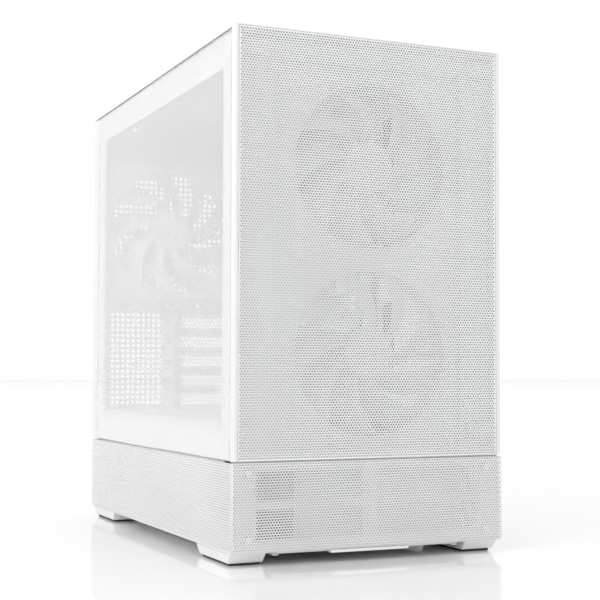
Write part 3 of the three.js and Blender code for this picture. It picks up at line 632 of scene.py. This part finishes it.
def ports():
    refined("port_module", "white_plastic", 0.15)
    y = middle(span("port_module")[1])

    def tongues(bm):
        for x in USB_X:
            add_box(bm, about(x, 5.6), (y + 0.1, y + 1.9), (398.1, 409.6), 0.2)
        add_box(bm, about(USB_C_X, 3.1), about(y, 0.35), (400.1, 409.2), 0.15)

    built("port_tongues", tongues, "black_plastic")

    def jack(bm):
        outer, inner, low, high = 2.1, 1.75, 408.4, 410.8
        ring = ((outer, low), (outer, high), (inner, high), (inner, low), (outer, low))
        for first, second in zip(ring, ring[1:]):
            add_band(bm, (JACK_X, y), first, second)

    built("audio_jack_ring", jack, "bright_steel")


def add_band(bm, centre, first, second, sides=24):
    """One ring of faces between two (radius, height) circles about a vertical axis."""
    ends = (first, second)
    low, high = ([bm.verts.new((*place, w)) for place in circle(*centre, r, sides)] for r, w in ends)
    for i in range(sides):
        j = (i + 1) % sides
        bm.faces.new((low[i], low[j], high[j], high[i]))


def thumbscrew(node):
    x, y, z = span(node)
    centre = (middle(x), middle(z))
    radius = (x[1] - x[0]) / 2
    start = y[1] - 4.7  # the head's inner face

    def head(bm):
        ridges = 30
        outline = []
        for i in range(ridges * 2):
            reach = radius if i % 2 else radius - 0.45
            angle = math.pi * i / ridges
            outline.append((centre[0] + reach * math.cos(angle), centre[1] + reach * math.sin(angle)))
        add_sheet(bm, "y", (start + 0.6, y[1] - 0.5), outline)
        add_turned(bm, "y", centre, ((radius - 0.7, start), (radius - 0.5, start + 0.7)), 40)
        cap = ((radius - 0.5, y[1] - 0.55), (radius - 1.0, y[1]), (1.9, y[1]), (0.3, y[1] - 0.01))
        add_turned(bm, "y", centre, cap, 40)
        half_pitch = 0.35
        turns = int((start - y[0] - 0.6) / half_pitch) + 1
        thread = [(1.7 - 0.25 * (i % 2), y[0] + 0.6 + i * half_pitch) for i in range(turns)]
        add_turned(bm, "y", centre, [(0.9, y[0]), *thread, (1.6, start + 0.1)], 20)

    # The slot is not cut into the head: a thin black sheet on its face is painted shade where the slot's
    # shadow would be.
    def painted_slot_shade(bm):
        for half_x, half_z in ((2.7, 0.45), (0.45, 2.7)):
            add_box(bm, about(centre[0], half_x), (y[1] - 0.05, y[1]), about(centre[1], half_z))

    built(node + "_turned", head, "bright_steel", node)
    # the slot's painted shade, a black sheet on the head's face
    built(node + "_painted_slot_shade", painted_slot_shade, "black_plastic", smooth=0, body=BODY_OF[node])


def small_screws(name, places, axis, along, radius, height, material="bright_steel"):
    """Pan-head screws whose heads stand on a face; along is (face, direction)."""
    def heads(bm):
        face, way = along
        low, top = face + way * height * 0.45, face + way * height
        profile = ((radius, face + way * 0.05), (radius, low), (radius * 0.82, face + way * height * 0.85),
                   (radius * 0.5, top), (radius * 0.42, top), (0.25, low))
        for centre in places:
            add_turned(bm, axis, centre, profile, 20)

    built(name, heads, material)


# --- chassis sheets
FAN_HALF = 62.25  # half the spacing of a case fan's screws
SLOT_PITCH = 20.32
SLOT_LEVELS = [199 - SLOT_PITCH * i for i in range(5)]
VENT_HOLE = 1.7
REAR_FAN = (-37.5, 293.5)
FRONT_FAN_X = 2.5
FRONT_FAN_LEVELS = {"upper": 310.0, "lower": 310 - 148.6}
SEEN_THROUGH = ((-71.5, 402.3), (-1.9, 217.4))  # round holes in the rear wall alone
POST_HOLES = ((-35, 217.3), (-36.2, 114.1))  # round holes through the post and the wall


def rear_wall():
    x, y, z = span("rear_wall")
    holes = [
        rectangle((38.2, 82.7), (214.8, 373.6), 1),
        rectangle((-64, 75), (15, 94), 2),
        *[rectangle((-22, 76), about(level, 6.5), 1.5) for level in SLOT_LEVELS],
        *[circle(side * 104, level, 2.1) for side in (-1, 1) for level in (115, 375)],
        *[circle(u, v, 1.9, 12) for u, v in SEEN_THROUGH + POST_HOLES],
        *[rectangle(about(u, 1.5), about(v, 4.3), 1.4) for u, v in ((12, 338), (13, 253))],
    ]
    columns = [-99.6 + 5.48 * i for i in range(11)]
    rows = [115.1 + 5.394 * i for i in range(18)]
    holes += [circle(u, v, VENT_HOLE, 10) for u in columns for v in rows]
    slots = ((49.5, 44.5), (50.5, -40.5))  # from the fan's middle, like the steps
    steps = [5.4 * i for i in range(-12, 13)]
    for u in steps:
        for v in steps:
            clear = all(abs(u - su) > 4.5 or abs(v - sv) > 7.5 for su, sv in slots)
            if math.hypot(u, v) < 65 and clear:
                holes.append(circle(REAR_FAN[0] + u, REAR_FAN[1] + v, VENT_HOLE, 10))
    holes += [circle(*place, 2.2) for place in corners(REAR_FAN, FAN_HALF)]

    def sheet(bm):
        add_sheet(bm, "y", y, rectangle(x, z), holes)

    built("rear_wall_punched", sheet, "inner_steel", "rear_wall")


def slot_covers():
    for i, level in enumerate(SLOT_LEVELS):
        node = "slot_cover_%d" % (i + 1)
        x, y, z = span(node)
        plate = (y[1] - SHEET, y[1])
        pitch = 4.4
        row_step, hole = 3.7, 1.45
        holes = []
        for row in (-1, 0, 1):
            count = 21 if row else 20
            start = -18.6 if row else -18.6 + pitch / 2
            holes += [circle(start + pitch * k, level + row_step * row, hole, 10) for k in range(count)]

        def cover(bm):
            add_sheet(bm, "y", plate, rectangle(x, z, 0.8), holes)
            add_box(bm, (x[0], x[0] + SHEET), (y[0], plate[0] + 0.05), z, 0.2)

        built(node + "_punched", cover, "inner_steel", node)


def slot_post():
    x, y, z = span("slot_post")
    flat = (y[1] - SHEET, y[1])

    def post(bm):
        add_sheet(bm, "y", flat, rectangle(x, z, 0.6), [circle(u, v, 2.1, 12) for u, v in POST_HOLES])
        add_box(bm, (x[1] - SHEET, x[1]), (y[0], flat[0] + 0.05), z, 0.2)

    built("slot_post_folded", post, "inner_steel", "slot_post")
    heads = [(-34.9, level) for level in SLOT_LEVELS]
    small_screws("slot_cover_screws", heads, "y", (flat[0], -1), 2.7, 2.2)


def roof():
    x, y, z = span("roof_panel")
    pitch, radius, margin = 6.4, 2.5, 16
    perforated_panel("roof_panel_punched", "z", z, x, y, "case", "roof_panel", 1,
                     pitch, radius, margin, "inner_steel")


def chassis():
    rear_wall()
    slot_covers()
    slot_post()
    roof()
    for node in ("motherboard_tray", "front_wall", "lower_front_frame", "psu_shroud", "drive_cage",
                 "ssd_bracket"):
        refined(node, "inner_steel", 0.2)


# --- feet and floor filter
def feet():
    for end in ("front", "rear"):
        for side in ("left", "right"):
            foot = "%s_%s_foot" % (end, side)
            refined(foot, "white_plastic", 0.7)
            refined(foot + "_pad", "rubber_pad", 0.4)


def floor_filter():
    x, y, z = span("psu_filter")
    frame_y = (y[0] + 8.5, y[1])
    border = 5
    bars = [frame_y[0] + (frame_y[1] - frame_y[0]) * i / 4 for i in (1, 2, 3)]

    def rim(bm):
        add_sheet(bm, "z", (7.9, 9.7), rectangle(x, frame_y, 2), [inside(x, frame_y, border, 1.5)])
        for place in bars:
            add_box(bm, inset(x, border - 0.2), about(place, 1.5), (8.0, 8.55), 0.2)
        add_box(bm, (-35, 32), (y[0], frame_y[0] + 0.1), z, 0.6)

    built("floor_filter_frame", rim, "white_plastic", "psu_filter", 0.2)
    inner = inset(x, border - 0.5), inset(frame_y, border - 0.5)
    perforated_panel("floor_filter_mesh", "z", (8.6, 9.0), *inner, "floor_filter", None, 1, 4.2, 1.7, 0.8,
                     "white_plastic")


# --- fans
def turned_to(axis, origin):
    """A fan is made about +Y with its intake face at 0; this puts it about an axis at a place."""
    spin = Matrix.Rotation(math.radians(-90), 4, "Z") if axis == "x" else Matrix.Identity(4)
    return Matrix.Translation(Vector(origin)) @ spin


def fan_frame(node, axis, origin, size, depth, ring, screws):
    """Square frame with rounded flanges, a waist between them, a flared ring, a motor seat and struts."""
    half = size / 2
    holes = [circle(0, 0, ring, 96), *[circle(*place, 2.2) for place in corners((0, 0), screws / 2)]]
    flange = 3.6

    def shape(bm):
        outline, waist = (rectangle((-reach, reach), (-reach, reach), 7, 6) for reach in (half, half - 1.2))
        add_sheet(bm, "y", (0, flange), outline, holes)
        add_sheet(bm, "y", (flange - 0.02, depth - flange + 0.02), waist, holes)
        add_sheet(bm, "y", (depth - flange, depth), outline, holes)
        seat = size / 7
        motor = ((seat - 0.6, depth - 3), (seat, depth - 2.4), (seat, depth - 0.6), (seat - 0.8, depth),
                 (0.5, depth))
        add_turned(bm, "y", (0, 0), motor, 64)
        for along, across in (((seat - 1, ring + 0.6), (-1.8, 1.8)), ((-ring - 0.6, 1 - seat), (-1.8, 1.8))):
            add_box(bm, along, (depth - 2.9, depth - 0.6), across, 0.5)
            add_box(bm, across, (depth - 2.9, depth - 0.6), along, 0.5)
        bmesh.ops.transform(bm, matrix=turned_to(axis, origin), verts=bm.verts)

    built(node + "_moulded", shape, "fan_plastic", node, 0.4, 30)


def fan_rotor(node, axis, origin, tip, hub, depth, blades):
    """Hub cap with swept, pitched and cambered blades."""
    sweep, root_lead, root_chord, chord_loss = 0.66, 0.05, 0.81, 0.16
    root = hub - 1.5
    step_angle = 2 * math.pi / blades
    along, across = 14, 16  # faces of a blade
    first, last = 1.4, depth - 1.2

    def surface(t, s, side):
        radius = root + (tip - root) * t
        lead = sweep * t + (1 - t) * root_lead
        angle = lead - s * step_angle * (root_chord - chord_loss * t)
        camber = 0.9 * math.sin(math.pi * s)
        thick = 0.25 + 0.75 * math.sin(math.pi * min(1, s * 0.9 + 0.08)) ** 0.6
        y = first + (last - first) * s ** 1.12 - camber + side * thick
        return radius * math.cos(angle), min(max(y, first - 0.3), last + 0.3), radius * math.sin(angle)

    def shape(bm):
        rim = 1.6
        cap = ((hub - 7.2, 0.5), (hub - 6.8, 0.0), (hub - rim, 0.0), (hub - 0.45, 0.5), (hub, rim),
               (hub, depth - 0.3), (hub - 0.8, depth), (0.5, depth))
        add_turned(bm, "y", (0, 0), cap, 64)
        for blade in range(blades):
            turn = Matrix.Rotation(-blade * step_angle, 3, "Y")
            grid = {}
            for side in (-1, 1):
                for i in range(along + 1):
                    for j in range(across + 1):
                        place = Vector(surface(i / along, j / across, side))
                        grid[side, i, j] = bm.verts.new(turn @ place)
            for i in range(along):
                for j in range(across):
                    cell = ((i, j), (i + 1, j), (i + 1, j + 1), (i, j + 1))
                    bm.faces.new([grid[-1, a, b] for a, b in cell])
                    bm.faces.new([grid[1, a, b] for a, b in reversed(cell)])
            border = [(i, 0) for i in range(along)] + [(along, j) for j in range(across)]
            border += [(i, across) for i in range(along, 0, -1)] + [(0, j) for j in range(across, 0, -1)]
            for (a, b), (c, d) in zip(border, border[1:] + border[:1]):
                bm.faces.new((grid[-1, c, d], grid[-1, a, b], grid[1, a, b], grid[1, c, d]))
        bmesh.ops.recalc_face_normals(bm, faces=bm.faces)
        bmesh.ops.transform(bm, matrix=turned_to(axis, origin), verts=bm.verts)

    built(node + "_bladed", shape, "fan_plastic", node, 0, 40)


def fans():
    for name in ("front_upper", "front_lower", "rear"):
        x, y, z = span(name + "_fan_frame")
        centre = (middle(x), y[0], middle(z))
        fan_frame(name + "_fan_frame", "y", centre, 140, 25, 66, 124.5)
        heads = corners((centre[0], centre[2]), FAN_HALF)
        small_screws(name + "_fan_screws", heads, "y", (y[0] + 1.6, -1), 2.15, 1.4)
        rotor_origin = (centre[0], span(name + "_fan_rotor")[1][0], centre[2])
        fan_rotor(name + "_fan_rotor", "y", rotor_origin, 64.5, 21, 20, 9)
    x, y, z = span("cooler_fan_frame")
    centre = (x[0], middle(y), middle(z))
    fan_frame("cooler_fan_frame", "x", centre, 92, 20, 43.5, 82.5)
    fan_rotor("cooler_fan_rotor", "x", (span("cooler_fan_rotor")[0][0], *centre[1:]), 42, 18, 15, 7)

    plate = (span("front_wall")[1][1] - SHEET, -1)
    for name, z in FRONT_FAN_LEVELS.items():
        heads = corners((FRONT_FAN_X, z), FAN_HALF)
        small_screws("front_%s_fan_screws" % name, heads, "y", plate, 3.4, 1.9, "painted_steel")
    outside = (span("rear_wall")[1][1], 1)
    small_screws("rear_fan_screws", corners(REAR_FAN, FAN_HALF), "y", outside, 3.4, 1.9, "painted_steel")


# --- what the case holds
BOARD_FACE = 83.0  # component side of the motherboard
IN_BOARD = BOARD_FACE + 0.05  # where the parts that stand on it end
BOARD_Y = (-39.0, 205.0)
BOARD_Z = (128.0, 372.0)
CPU = (105.0, 307.5)
MEMORY_Y = [45.5 - 9.6 * i for i in range(4)]
CONNECTOR_STARTS = (89.5, 153.5, 89.5)
BOARD_SCREWS = ((-29, 134), (195, 134), (-29, 232), (-29, 366))
# Rear ports: low and high Z, X of the far side, then openings as (X, Z, half X, half Z), which are
# round where half Z is 0.
REAR_PORTS = (
    (224, 238, 53, ((77, 231, 3, 0), (67.5, 231, 3, 0), (58, 231, 3, 0))),
    (240, 254, 53, ((77, 247, 3, 0), (67.5, 247, 3, 0), (58, 247, 4, 4))),
    (259, 276, 54, ((79, 267.5, 2.4, 6.3), (72, 267.5, 2.4, 6.3), (61, 267.5, 5.2, 6))),
    (281, 296, 66, ((79, 288.5, 2.4, 6.3), (71, 288.5, 2.4, 6.3))),
    (299, 314, 66, ((79, 306.5, 2.4, 6.3), (71, 306.5, 2.4, 6.3))),
    (318, 334, 75, ((79, 326, 2.4, 7),)),
    (337, 355, 75, ((79, 346, 2.4, 8),)),
)


def add_slab(bm, height, y, z, rounding=0.3):
    """A block that stands on the board."""
    add_box(bm, (BOARD_FACE - height, IN_BOARD), y, z, rounding)


def add_finned(bm, height, y, z, across, count):
    """A heatsink on the board: a foot with fins spread along Y or Z."""
    add_slab(bm, 4, y, z)
    ranges = {"y": y, "z": z}
    low, high = ranges[across]
    step = (high - low) / count
    for i in range(count):
        ranges[across] = (low + i * step, low + (i + 0.55) * step)
        add_box(bm, (BOARD_FACE - height, BOARD_FACE - 3.9), ranges["y"], ranges["z"], 0.2)


def board_parts():
    def heatsinks(bm):
        add_finned(bm, 24, (97.5, 175.5), (352, 368), "y", 18)
        add_finned(bm, 24, (151.5, 179.5), (262, 340), "z", 18)
        add_finned(bm, 11, (-2.5, 59.5), (136, 186), "z", 11)

    def sockets(bm):
        y, z = (about(centre, 24) for centre in CPU)
        add_slab(bm, 2.4, y, z, 0.4)
        for y in MEMORY_Y:
            for side in (-1, 1):
                add_box(bm, (75, IN_BOARD), beside(y, side, 1.1, 3.3), (225, 361), 0.2)
            add_slab(bm, 3, about(y, 3.2), (225, 361), 0.2)
            for end in ((222, 225.1), (360.9, 364)):
                add_slab(bm, 8, about(y, 3.3), end, 0.6)
        for i, start in enumerate(CONNECTOR_STARTS):
            z = SLOT_LEVELS[0] - i * SLOT_PITCH
            for side in (-1, 1):
                add_box(bm, (72, IN_BOARD), (start, 179.5), beside(z, side, 1, 3.8), 0.3)
            for y in ((start, start + 5), (133, 135), (178, 179.5)):
                if y[0] >= start:
                    add_box(bm, (72.4, IN_BOARD), y, about(z, 3.6), 0.2)
        for row in range(12):
            for side in (0, 1):
                y = (-37.6 + side * 5.2, -33 + side * 5.2)
                start = 250.4 + row * 4.3
                z = (start, start + 4)
                add_sheet(bm, "x", (71.2, BOARD_FACE), rectangle(y, z), [inside(y, z, 1, 0.5)])
        for row in range(4):
            for side in (0, 1):
                y = (-37.6 + side * 8.6, -30 + side * 8.6)
                z = (150.4 + row * 6.4, 156 + row * 6.4)
                add_sheet(bm, "x", (70.2, BOARD_FACE), rectangle(y, z), [inside(y, z, 1)])
        for z in (205, 214):
            add_slab(bm, 9, (-36, -14), (z, z + 5), 0.2)

    def cans(bm):
        places = [(126 + 6.5 * i, 345) for i in range(4)] + [(66 + 9 * i, 146) for i in range(4)]
        places += [(70, 236 + 8.5 * i) for i in range(3)] + [(190, 140 + 9 * i) for i in range(3)]
        for y, z in places:
            add_turned(bm, "x", (y, z), ((2.9, BOARD_FACE), (2.9, 76.2), (2.5, 75.8), (0.4, 75.8)), 20)

    def chips(bm):
        for i in range(6):
            add_slab(bm, 5.5, (141.8, 149.4), (262 + 13 * i, 270 + 13 * i), 0.5)
            add_slab(bm, 5.5, (84 + 10.5 * i, 91.6 + 10.5 * i), (338, 346), 0.5)
        for y, z, wide, tall in ((66, 170, 9, 9), (120, 215, 7, 5), (88, 130, 12, 5), (20, 196, 10, 6),
                                 (160, 240, 7, 7), (140, 130, 8, 8), (-20, 190, 6, 8), (186, 190, 7, 7)):
            add_slab(bm, 1.2, (y, y + wide), (z, z + tall), 0.15)

    def battery(bm):
        disc = ((9.4, BOARD_FACE), (9.8, 82.6), (9.8, 80), (9.4, 79.7), (0.5, 79.7))
        add_turned(bm, "x", (74, 209), disc, 40)

    def laminate(bm):
        holes = [circle(y, z, 1.9, 16) for y, z in BOARD_SCREWS]
        add_sheet(bm, "x", (BOARD_FACE, BOARD_FACE + 1.6), rectangle(BOARD_Y, BOARD_Z, 1.5), holes)

    built("motherboard_laminate", laminate, "circuit_board", "motherboard", 0.1)
    built("motherboard_heatsinks", heatsinks, "bare_aluminium")
    built("motherboard_sockets", sockets, "white_plastic")
    built("motherboard_capacitors", cans, "bare_aluminium")
    built("motherboard_chips", chips, "black_plastic")
    built("motherboard_battery", battery, "bright_steel")
    small_screws("motherboard_screws", BOARD_SCREWS, "x", (BOARD_FACE, -1), 2.8, 1.8)


def opening(x, z, half_x, half_z):
    if half_z:
        return rectangle(about(x, half_x), about(z, half_z), 0.5, 2)
    return circle(x, z, half_x, 20)


def rear_ports():
    back, face, depth = 185.2, 206.2, 9
    near = BOARD_FACE - 0.1

    def shells(bm):
        for low, high, far, openings in REAR_PORTS:
            outline = rectangle((far, near), (low, high), 0.4, 2)
            add_sheet(bm, "y", (face - depth, face), outline, [opening(*place) for place in openings])
            add_box(bm, (far, near), (back, face - depth + 0.02), (low, high), 0.3)

    def tongues(bm):
        for _, _, _, openings in REAR_PORTS:
            for x, z, half_x, half_z in openings:
                if half_z > 4:
                    add_box(bm, (x - half_x + 1, x - half_x + 2.4), (face - depth - 0.1, face - 1.2),
                            about(z, half_z - 1), 0.2)
                else:
                    ring = circle(x, z, half_x - 0.1, 20)
                    add_sheet(bm, "y", (face - 3, face - 0.1), ring, [circle(x, z, half_x - 1.2, 16)])

    def shield(bm):
        x, y, z = span("io_shield")
        holes = [
            rectangle((far - 0.8, 81.6), (low - 0.8, high + 0.8), 0.6) for low, high, far, _ in REAR_PORTS
        ]
        for row in range(44):
            holes += [circle(x[0] + 5 + 2.6 * i, z[0] + 6 + 3.4 * row, 0.9, 10) for i in range(3)]
        add_sheet(bm, "y", y, rectangle(x, z, 1), holes)

    built("rear_port_shells", shells, "bright_steel")
    built("rear_port_tongues", tongues, "black_plastic")
    built("io_shield_pressed", shield, "bright_steel", "io_shield")


def memory():
    for node in ("memory_module_1", "memory_module_2"):
        x, y, z = span(node)
        centre = middle(y)

        def spreader(bm):
            top = x[0]
            half = ((x[1] - 6.2, 0), (top + 3, 0), (top + 0.6, 4), (top + 0.6, 40), (top + 4, 45))
            outline = [(u, z[0] + v) for u, v in half] + [(u, z[1] - v) for u, v in reversed(half)]
            for side in (-1, 1):
                add_sheet(bm, "y", beside(centre, side, 2.1, 3), outline[::-1])
                for i in range(9):
                    start = z[0] + 16 + 12.2 * i
                    add_box(bm, (top + 9, x[1] - 10), beside(centre, side, 2.9, 3), (start, start + 3.4))
            for end in ((z[0] + 4, z[0] + 40), (z[1] - 40, z[1] - 4)):
                add_box(bm, (top, top + 1.6), about(centre, 3), end, 0.4)
            add_box(bm, (top + 3.4, top + 5), about(centre, 2.2), inset(z, 44), 0.2)

        def card(bm):
            add_box(bm, (x[0] + 2, x[1]), about(centre, 0.7), z)
            for side in (-1, 1):
                for i in range(8):
                    start = z[0] + 6 + 15.4 * i
                    add_box(bm, (x[0] + 8, x[1] - 12), beside(centre, side, 0.6, 2.1), (start, start + 11))

        def contacts(bm):
            for side in (-1, 1):
                skin = beside(centre, side, 0.65, 0.75)
                for i in range(96):
                    start = z[0] + 2.5 + 1.33 * i
                    if abs(i - 50) > 2:
                        add_box(bm, (x[1] - 3.4, x[1] - 0.2), skin, (start, start + 0.8))

        built(node + "_spreader", spreader, "bare_aluminium", node, 0.1)
        built(node + "_card", card, "circuit_board")
        built(node + "_contacts", contacts, "gold_contact")


def supply():
    x, y, z = span("power_supply")
    wall = 1.0
    inlet, inlet_sleeve = ((41, 67), (24, 44)), ((39.6, 68.4), (22.6, 45.4))
    well, well_sleeve = ((47.7, 60.3), (61.7, 80.3)), ((46.5, 61.5), (60.5, 81.5))
    pockets = (inlet, inlet_sleeve, 14, 1, 1), (well, well_sleeve, 7, 0.6, 0.4)
    fan = (middle(x), middle(y))
    holes = [rectangle(*inlet, 1), rectangle(*well, 0.4)]
    for row in range(15):
        for column in range(19 + row % 2):
            u, v = -62 + 5.7 * column + 2.85 * (1 - row % 2), z[0] + 8 + 4.94 * row
            if u < 36 and v < z[1] - 6:
                holes.append(circle(u, v, 2.45, 6, math.radians(30)))

    def shell(bm):
        long_way = inset(y, 0.5)
        add_sheet(bm, "y", (y[1] - wall, y[1]), rectangle(x, z, 1), holes)
        add_sheet(bm, "y", (y[0], y[0] + wall), rectangle(x, z, 1), [rectangle((20, 70), (30, 52), 4)])
        add_sheet(bm, "z", (z[0], z[0] + wall), rectangle(x, long_way), [circle(*fan, 66, 72)])
        add_box(bm, x, long_way, (z[1] - wall, z[1]))
        for side in ((x[0], x[0] + wall), (x[1] - wall, x[1])):
            add_box(bm, side, long_way, inset(z, 0.5))
        for hole, sleeve, depth, corner, hole_corner in pockets:
            reach = (y[1] - depth, y[1] - 0.2)
            add_sheet(bm, "y", reach, rectangle(*sleeve, corner), [rectangle(*hole, hole_corner)])
            add_box(bm, sleeve[0], (y[1] - depth - 1, y[1] - depth + 0.1), sleeve[1], 0.2)

    def grille(bm):
        for radius in (12, 24, 36, 48, 60):
            inner, outer = (circle(*fan, edge, 72) for edge in about(radius, 0.8))
            add_sheet(bm, "z", (z[0] + 0.1, z[0] + 1.3), outer, [inner])
        for half_x, half_y in ((68, 0.8), (0.8, 68)):
            add_box(bm, about(fan[0], half_x), about(fan[1], half_y), (z[0] + 1.2, z[0] + 2.2), 0.2)

    def blades(bm):
        for u, v in ((47, 33), (61, 33), (54, 37.5)):
            add_box(bm, about(u, 1), (y[1] - 14, y[1] - 3), about(v, 3), 0.4)

    built("power_supply_shell", shell, "supply_housing", "power_supply", 0.15)
    built("power_supply_grille", grille, "bright_steel")
    built("power_inlet_blades", blades, "bright_steel")


def drives():
    x, y, z = span("hard_drive")

    def casting(bm):
        top = z[1]
        spindle = (x[0] + 48, middle(y))
        add_box(bm, x, y, (z[0] + 1.6, top - 1.2), 1.2)
        add_sheet(bm, "z", (top - 1.25, top - 0.4), rectangle(inset(x, 3), inset(y, 3), 9, 8))
        add_turned(bm, "z", spindle, ((34, top - 0.5), (33, top - 0.1), (0.5, top - 0.1)), 64)
        add_turned(bm, "z", spindle, ((8, top - 0.2), (7.4, top), (0.5, top)), 40)

    def circuit(bm):
        add_box(bm, (x[0] + 8, x[1] - 50), inset(y, 6), (z[0] + 0.6, z[0] + 1.7))

    heads = [(u, v) for u in inset(x, 7) for v in inset(y, 7)]
    built("hard_drive_casting", casting, "bare_aluminium", "hard_drive", 0.2)
    built("hard_drive_circuit", circuit, "circuit_board")
    small_screws("hard_drive_screws", heads, "z", (z[1] - 0.45, 1), 2.2, 0.4)


def insides():
    board_parts()
    rear_ports()
    memory()
    supply()
    drives()
    refined("cooler_heatsink", "bare_aluminium", 0.15)
    refined("psu_switch", "black_plastic", 0.3)
    refined("solid_state_drive", "black_plastic", 0.8)


# --- camera and studio
def camera():
    place = Vector((-456.67, -1157.04, 145.13)) * MM
    yaw, pitch, roll = (math.radians(angle) for angle in (24.807, 2.357, 0.077))
    ahead = Vector((math.sin(yaw) * math.cos(pitch), math.cos(yaw) * math.cos(pitch), math.sin(pitch)))
    level = Vector((math.cos(yaw), -math.sin(yaw), 0))
    above = level.cross(ahead)
    right = level * math.cos(roll) + above * math.sin(roll)
    up = above * math.cos(roll) - level * math.sin(roll)
    data = bpy.data.cameras.new("camera")
    data.sensor_width, data.lens = 36, 79.947
    data.shift_x, data.shift_y = -0.0811, 0.0317
    data.clip_end = 100
    eye = in_scene("camera", data)
    turn = Matrix((right, up, -ahead)).transposed().to_4x4()
    eye.matrix_world = Matrix.Translation(place) @ turn
    SCENE.camera = eye


def softbox(name, place, size, power):
    """A square lamp that faces the lower half of the case."""
    data = bpy.data.lights.new(name, "AREA")
    data.shape = "RECTANGLE"
    data.size = data.size_y = size
    data.energy = power
    lamp = in_scene(name, data)
    lamp.location = place
    ray = Vector((0, 0, 0.2)) - Vector(place)
    lamp.rotation_euler = ray.to_track_quat("-Z", "Y").to_euler()
    lamp.visible_camera = False


def studio():
    made, tree, shader = nodes_of("studio_floor")
    mottle = noise(tree, 3, 2)
    tone = blended(tree, ranged(tree, mottle, 0, 1), (0.92, 0.92, 0.92), (0.94, 0.94, 0.94))
    far = made_node(tree, "VectorMath")
    far.operation = "LENGTH"
    tree.links.new(made_node(tree, "TexCoord").outputs["Object"], far.inputs[0])
    tone = blended(tree, ranged(tree, far.outputs["Value"], 0, 1, 0.7, 3), tone, (1, 1, 1))
    set_inputs(shader, Base_Color=tone, Roughness=ranged(tree, mottle, 0.05, 0.07))
    mesh = bpy.data.meshes.new("studio_floor")
    reach = (-30, 30)
    mesh.from_pydata([(*place, 0) for place in rectangle(reach, reach)], [], [(0, 1, 2, 3)])
    mesh.materials.append(made)
    floor = in_scene("studio_floor", mesh)
    floor.location.z = -0.0002

    world = bpy.data.worlds.new("studio")
    world.use_nodes = True
    set_inputs(world.node_tree.nodes["Background"], Color=(1, 1, 1, 1), Strength=1.0)
    SCENE.world = world
    softbox("left_softbox", (-2.2, -0.9, 1.6), 2.0, 21)
    softbox("top_softbox", (0.3, -0.4, 2.6), 2.4, 5)
    SCENE.view_settings.view_transform = "Standard"
    SCENE.cycles.diffuse_bounces = 8


# --- building the tower
camera()
studio()
outer_covers()
glass_side()
roof_filter()
for key in ("power_button", "reset_button"):
    key_top(key)
ports()
for side in ("left", "right"):
    for level in ("lower", "upper"):
        thumbscrew("%s_%s_thumbscrew" % (side, level))
chassis()
feet()
floor_filter()
fans()
insides()
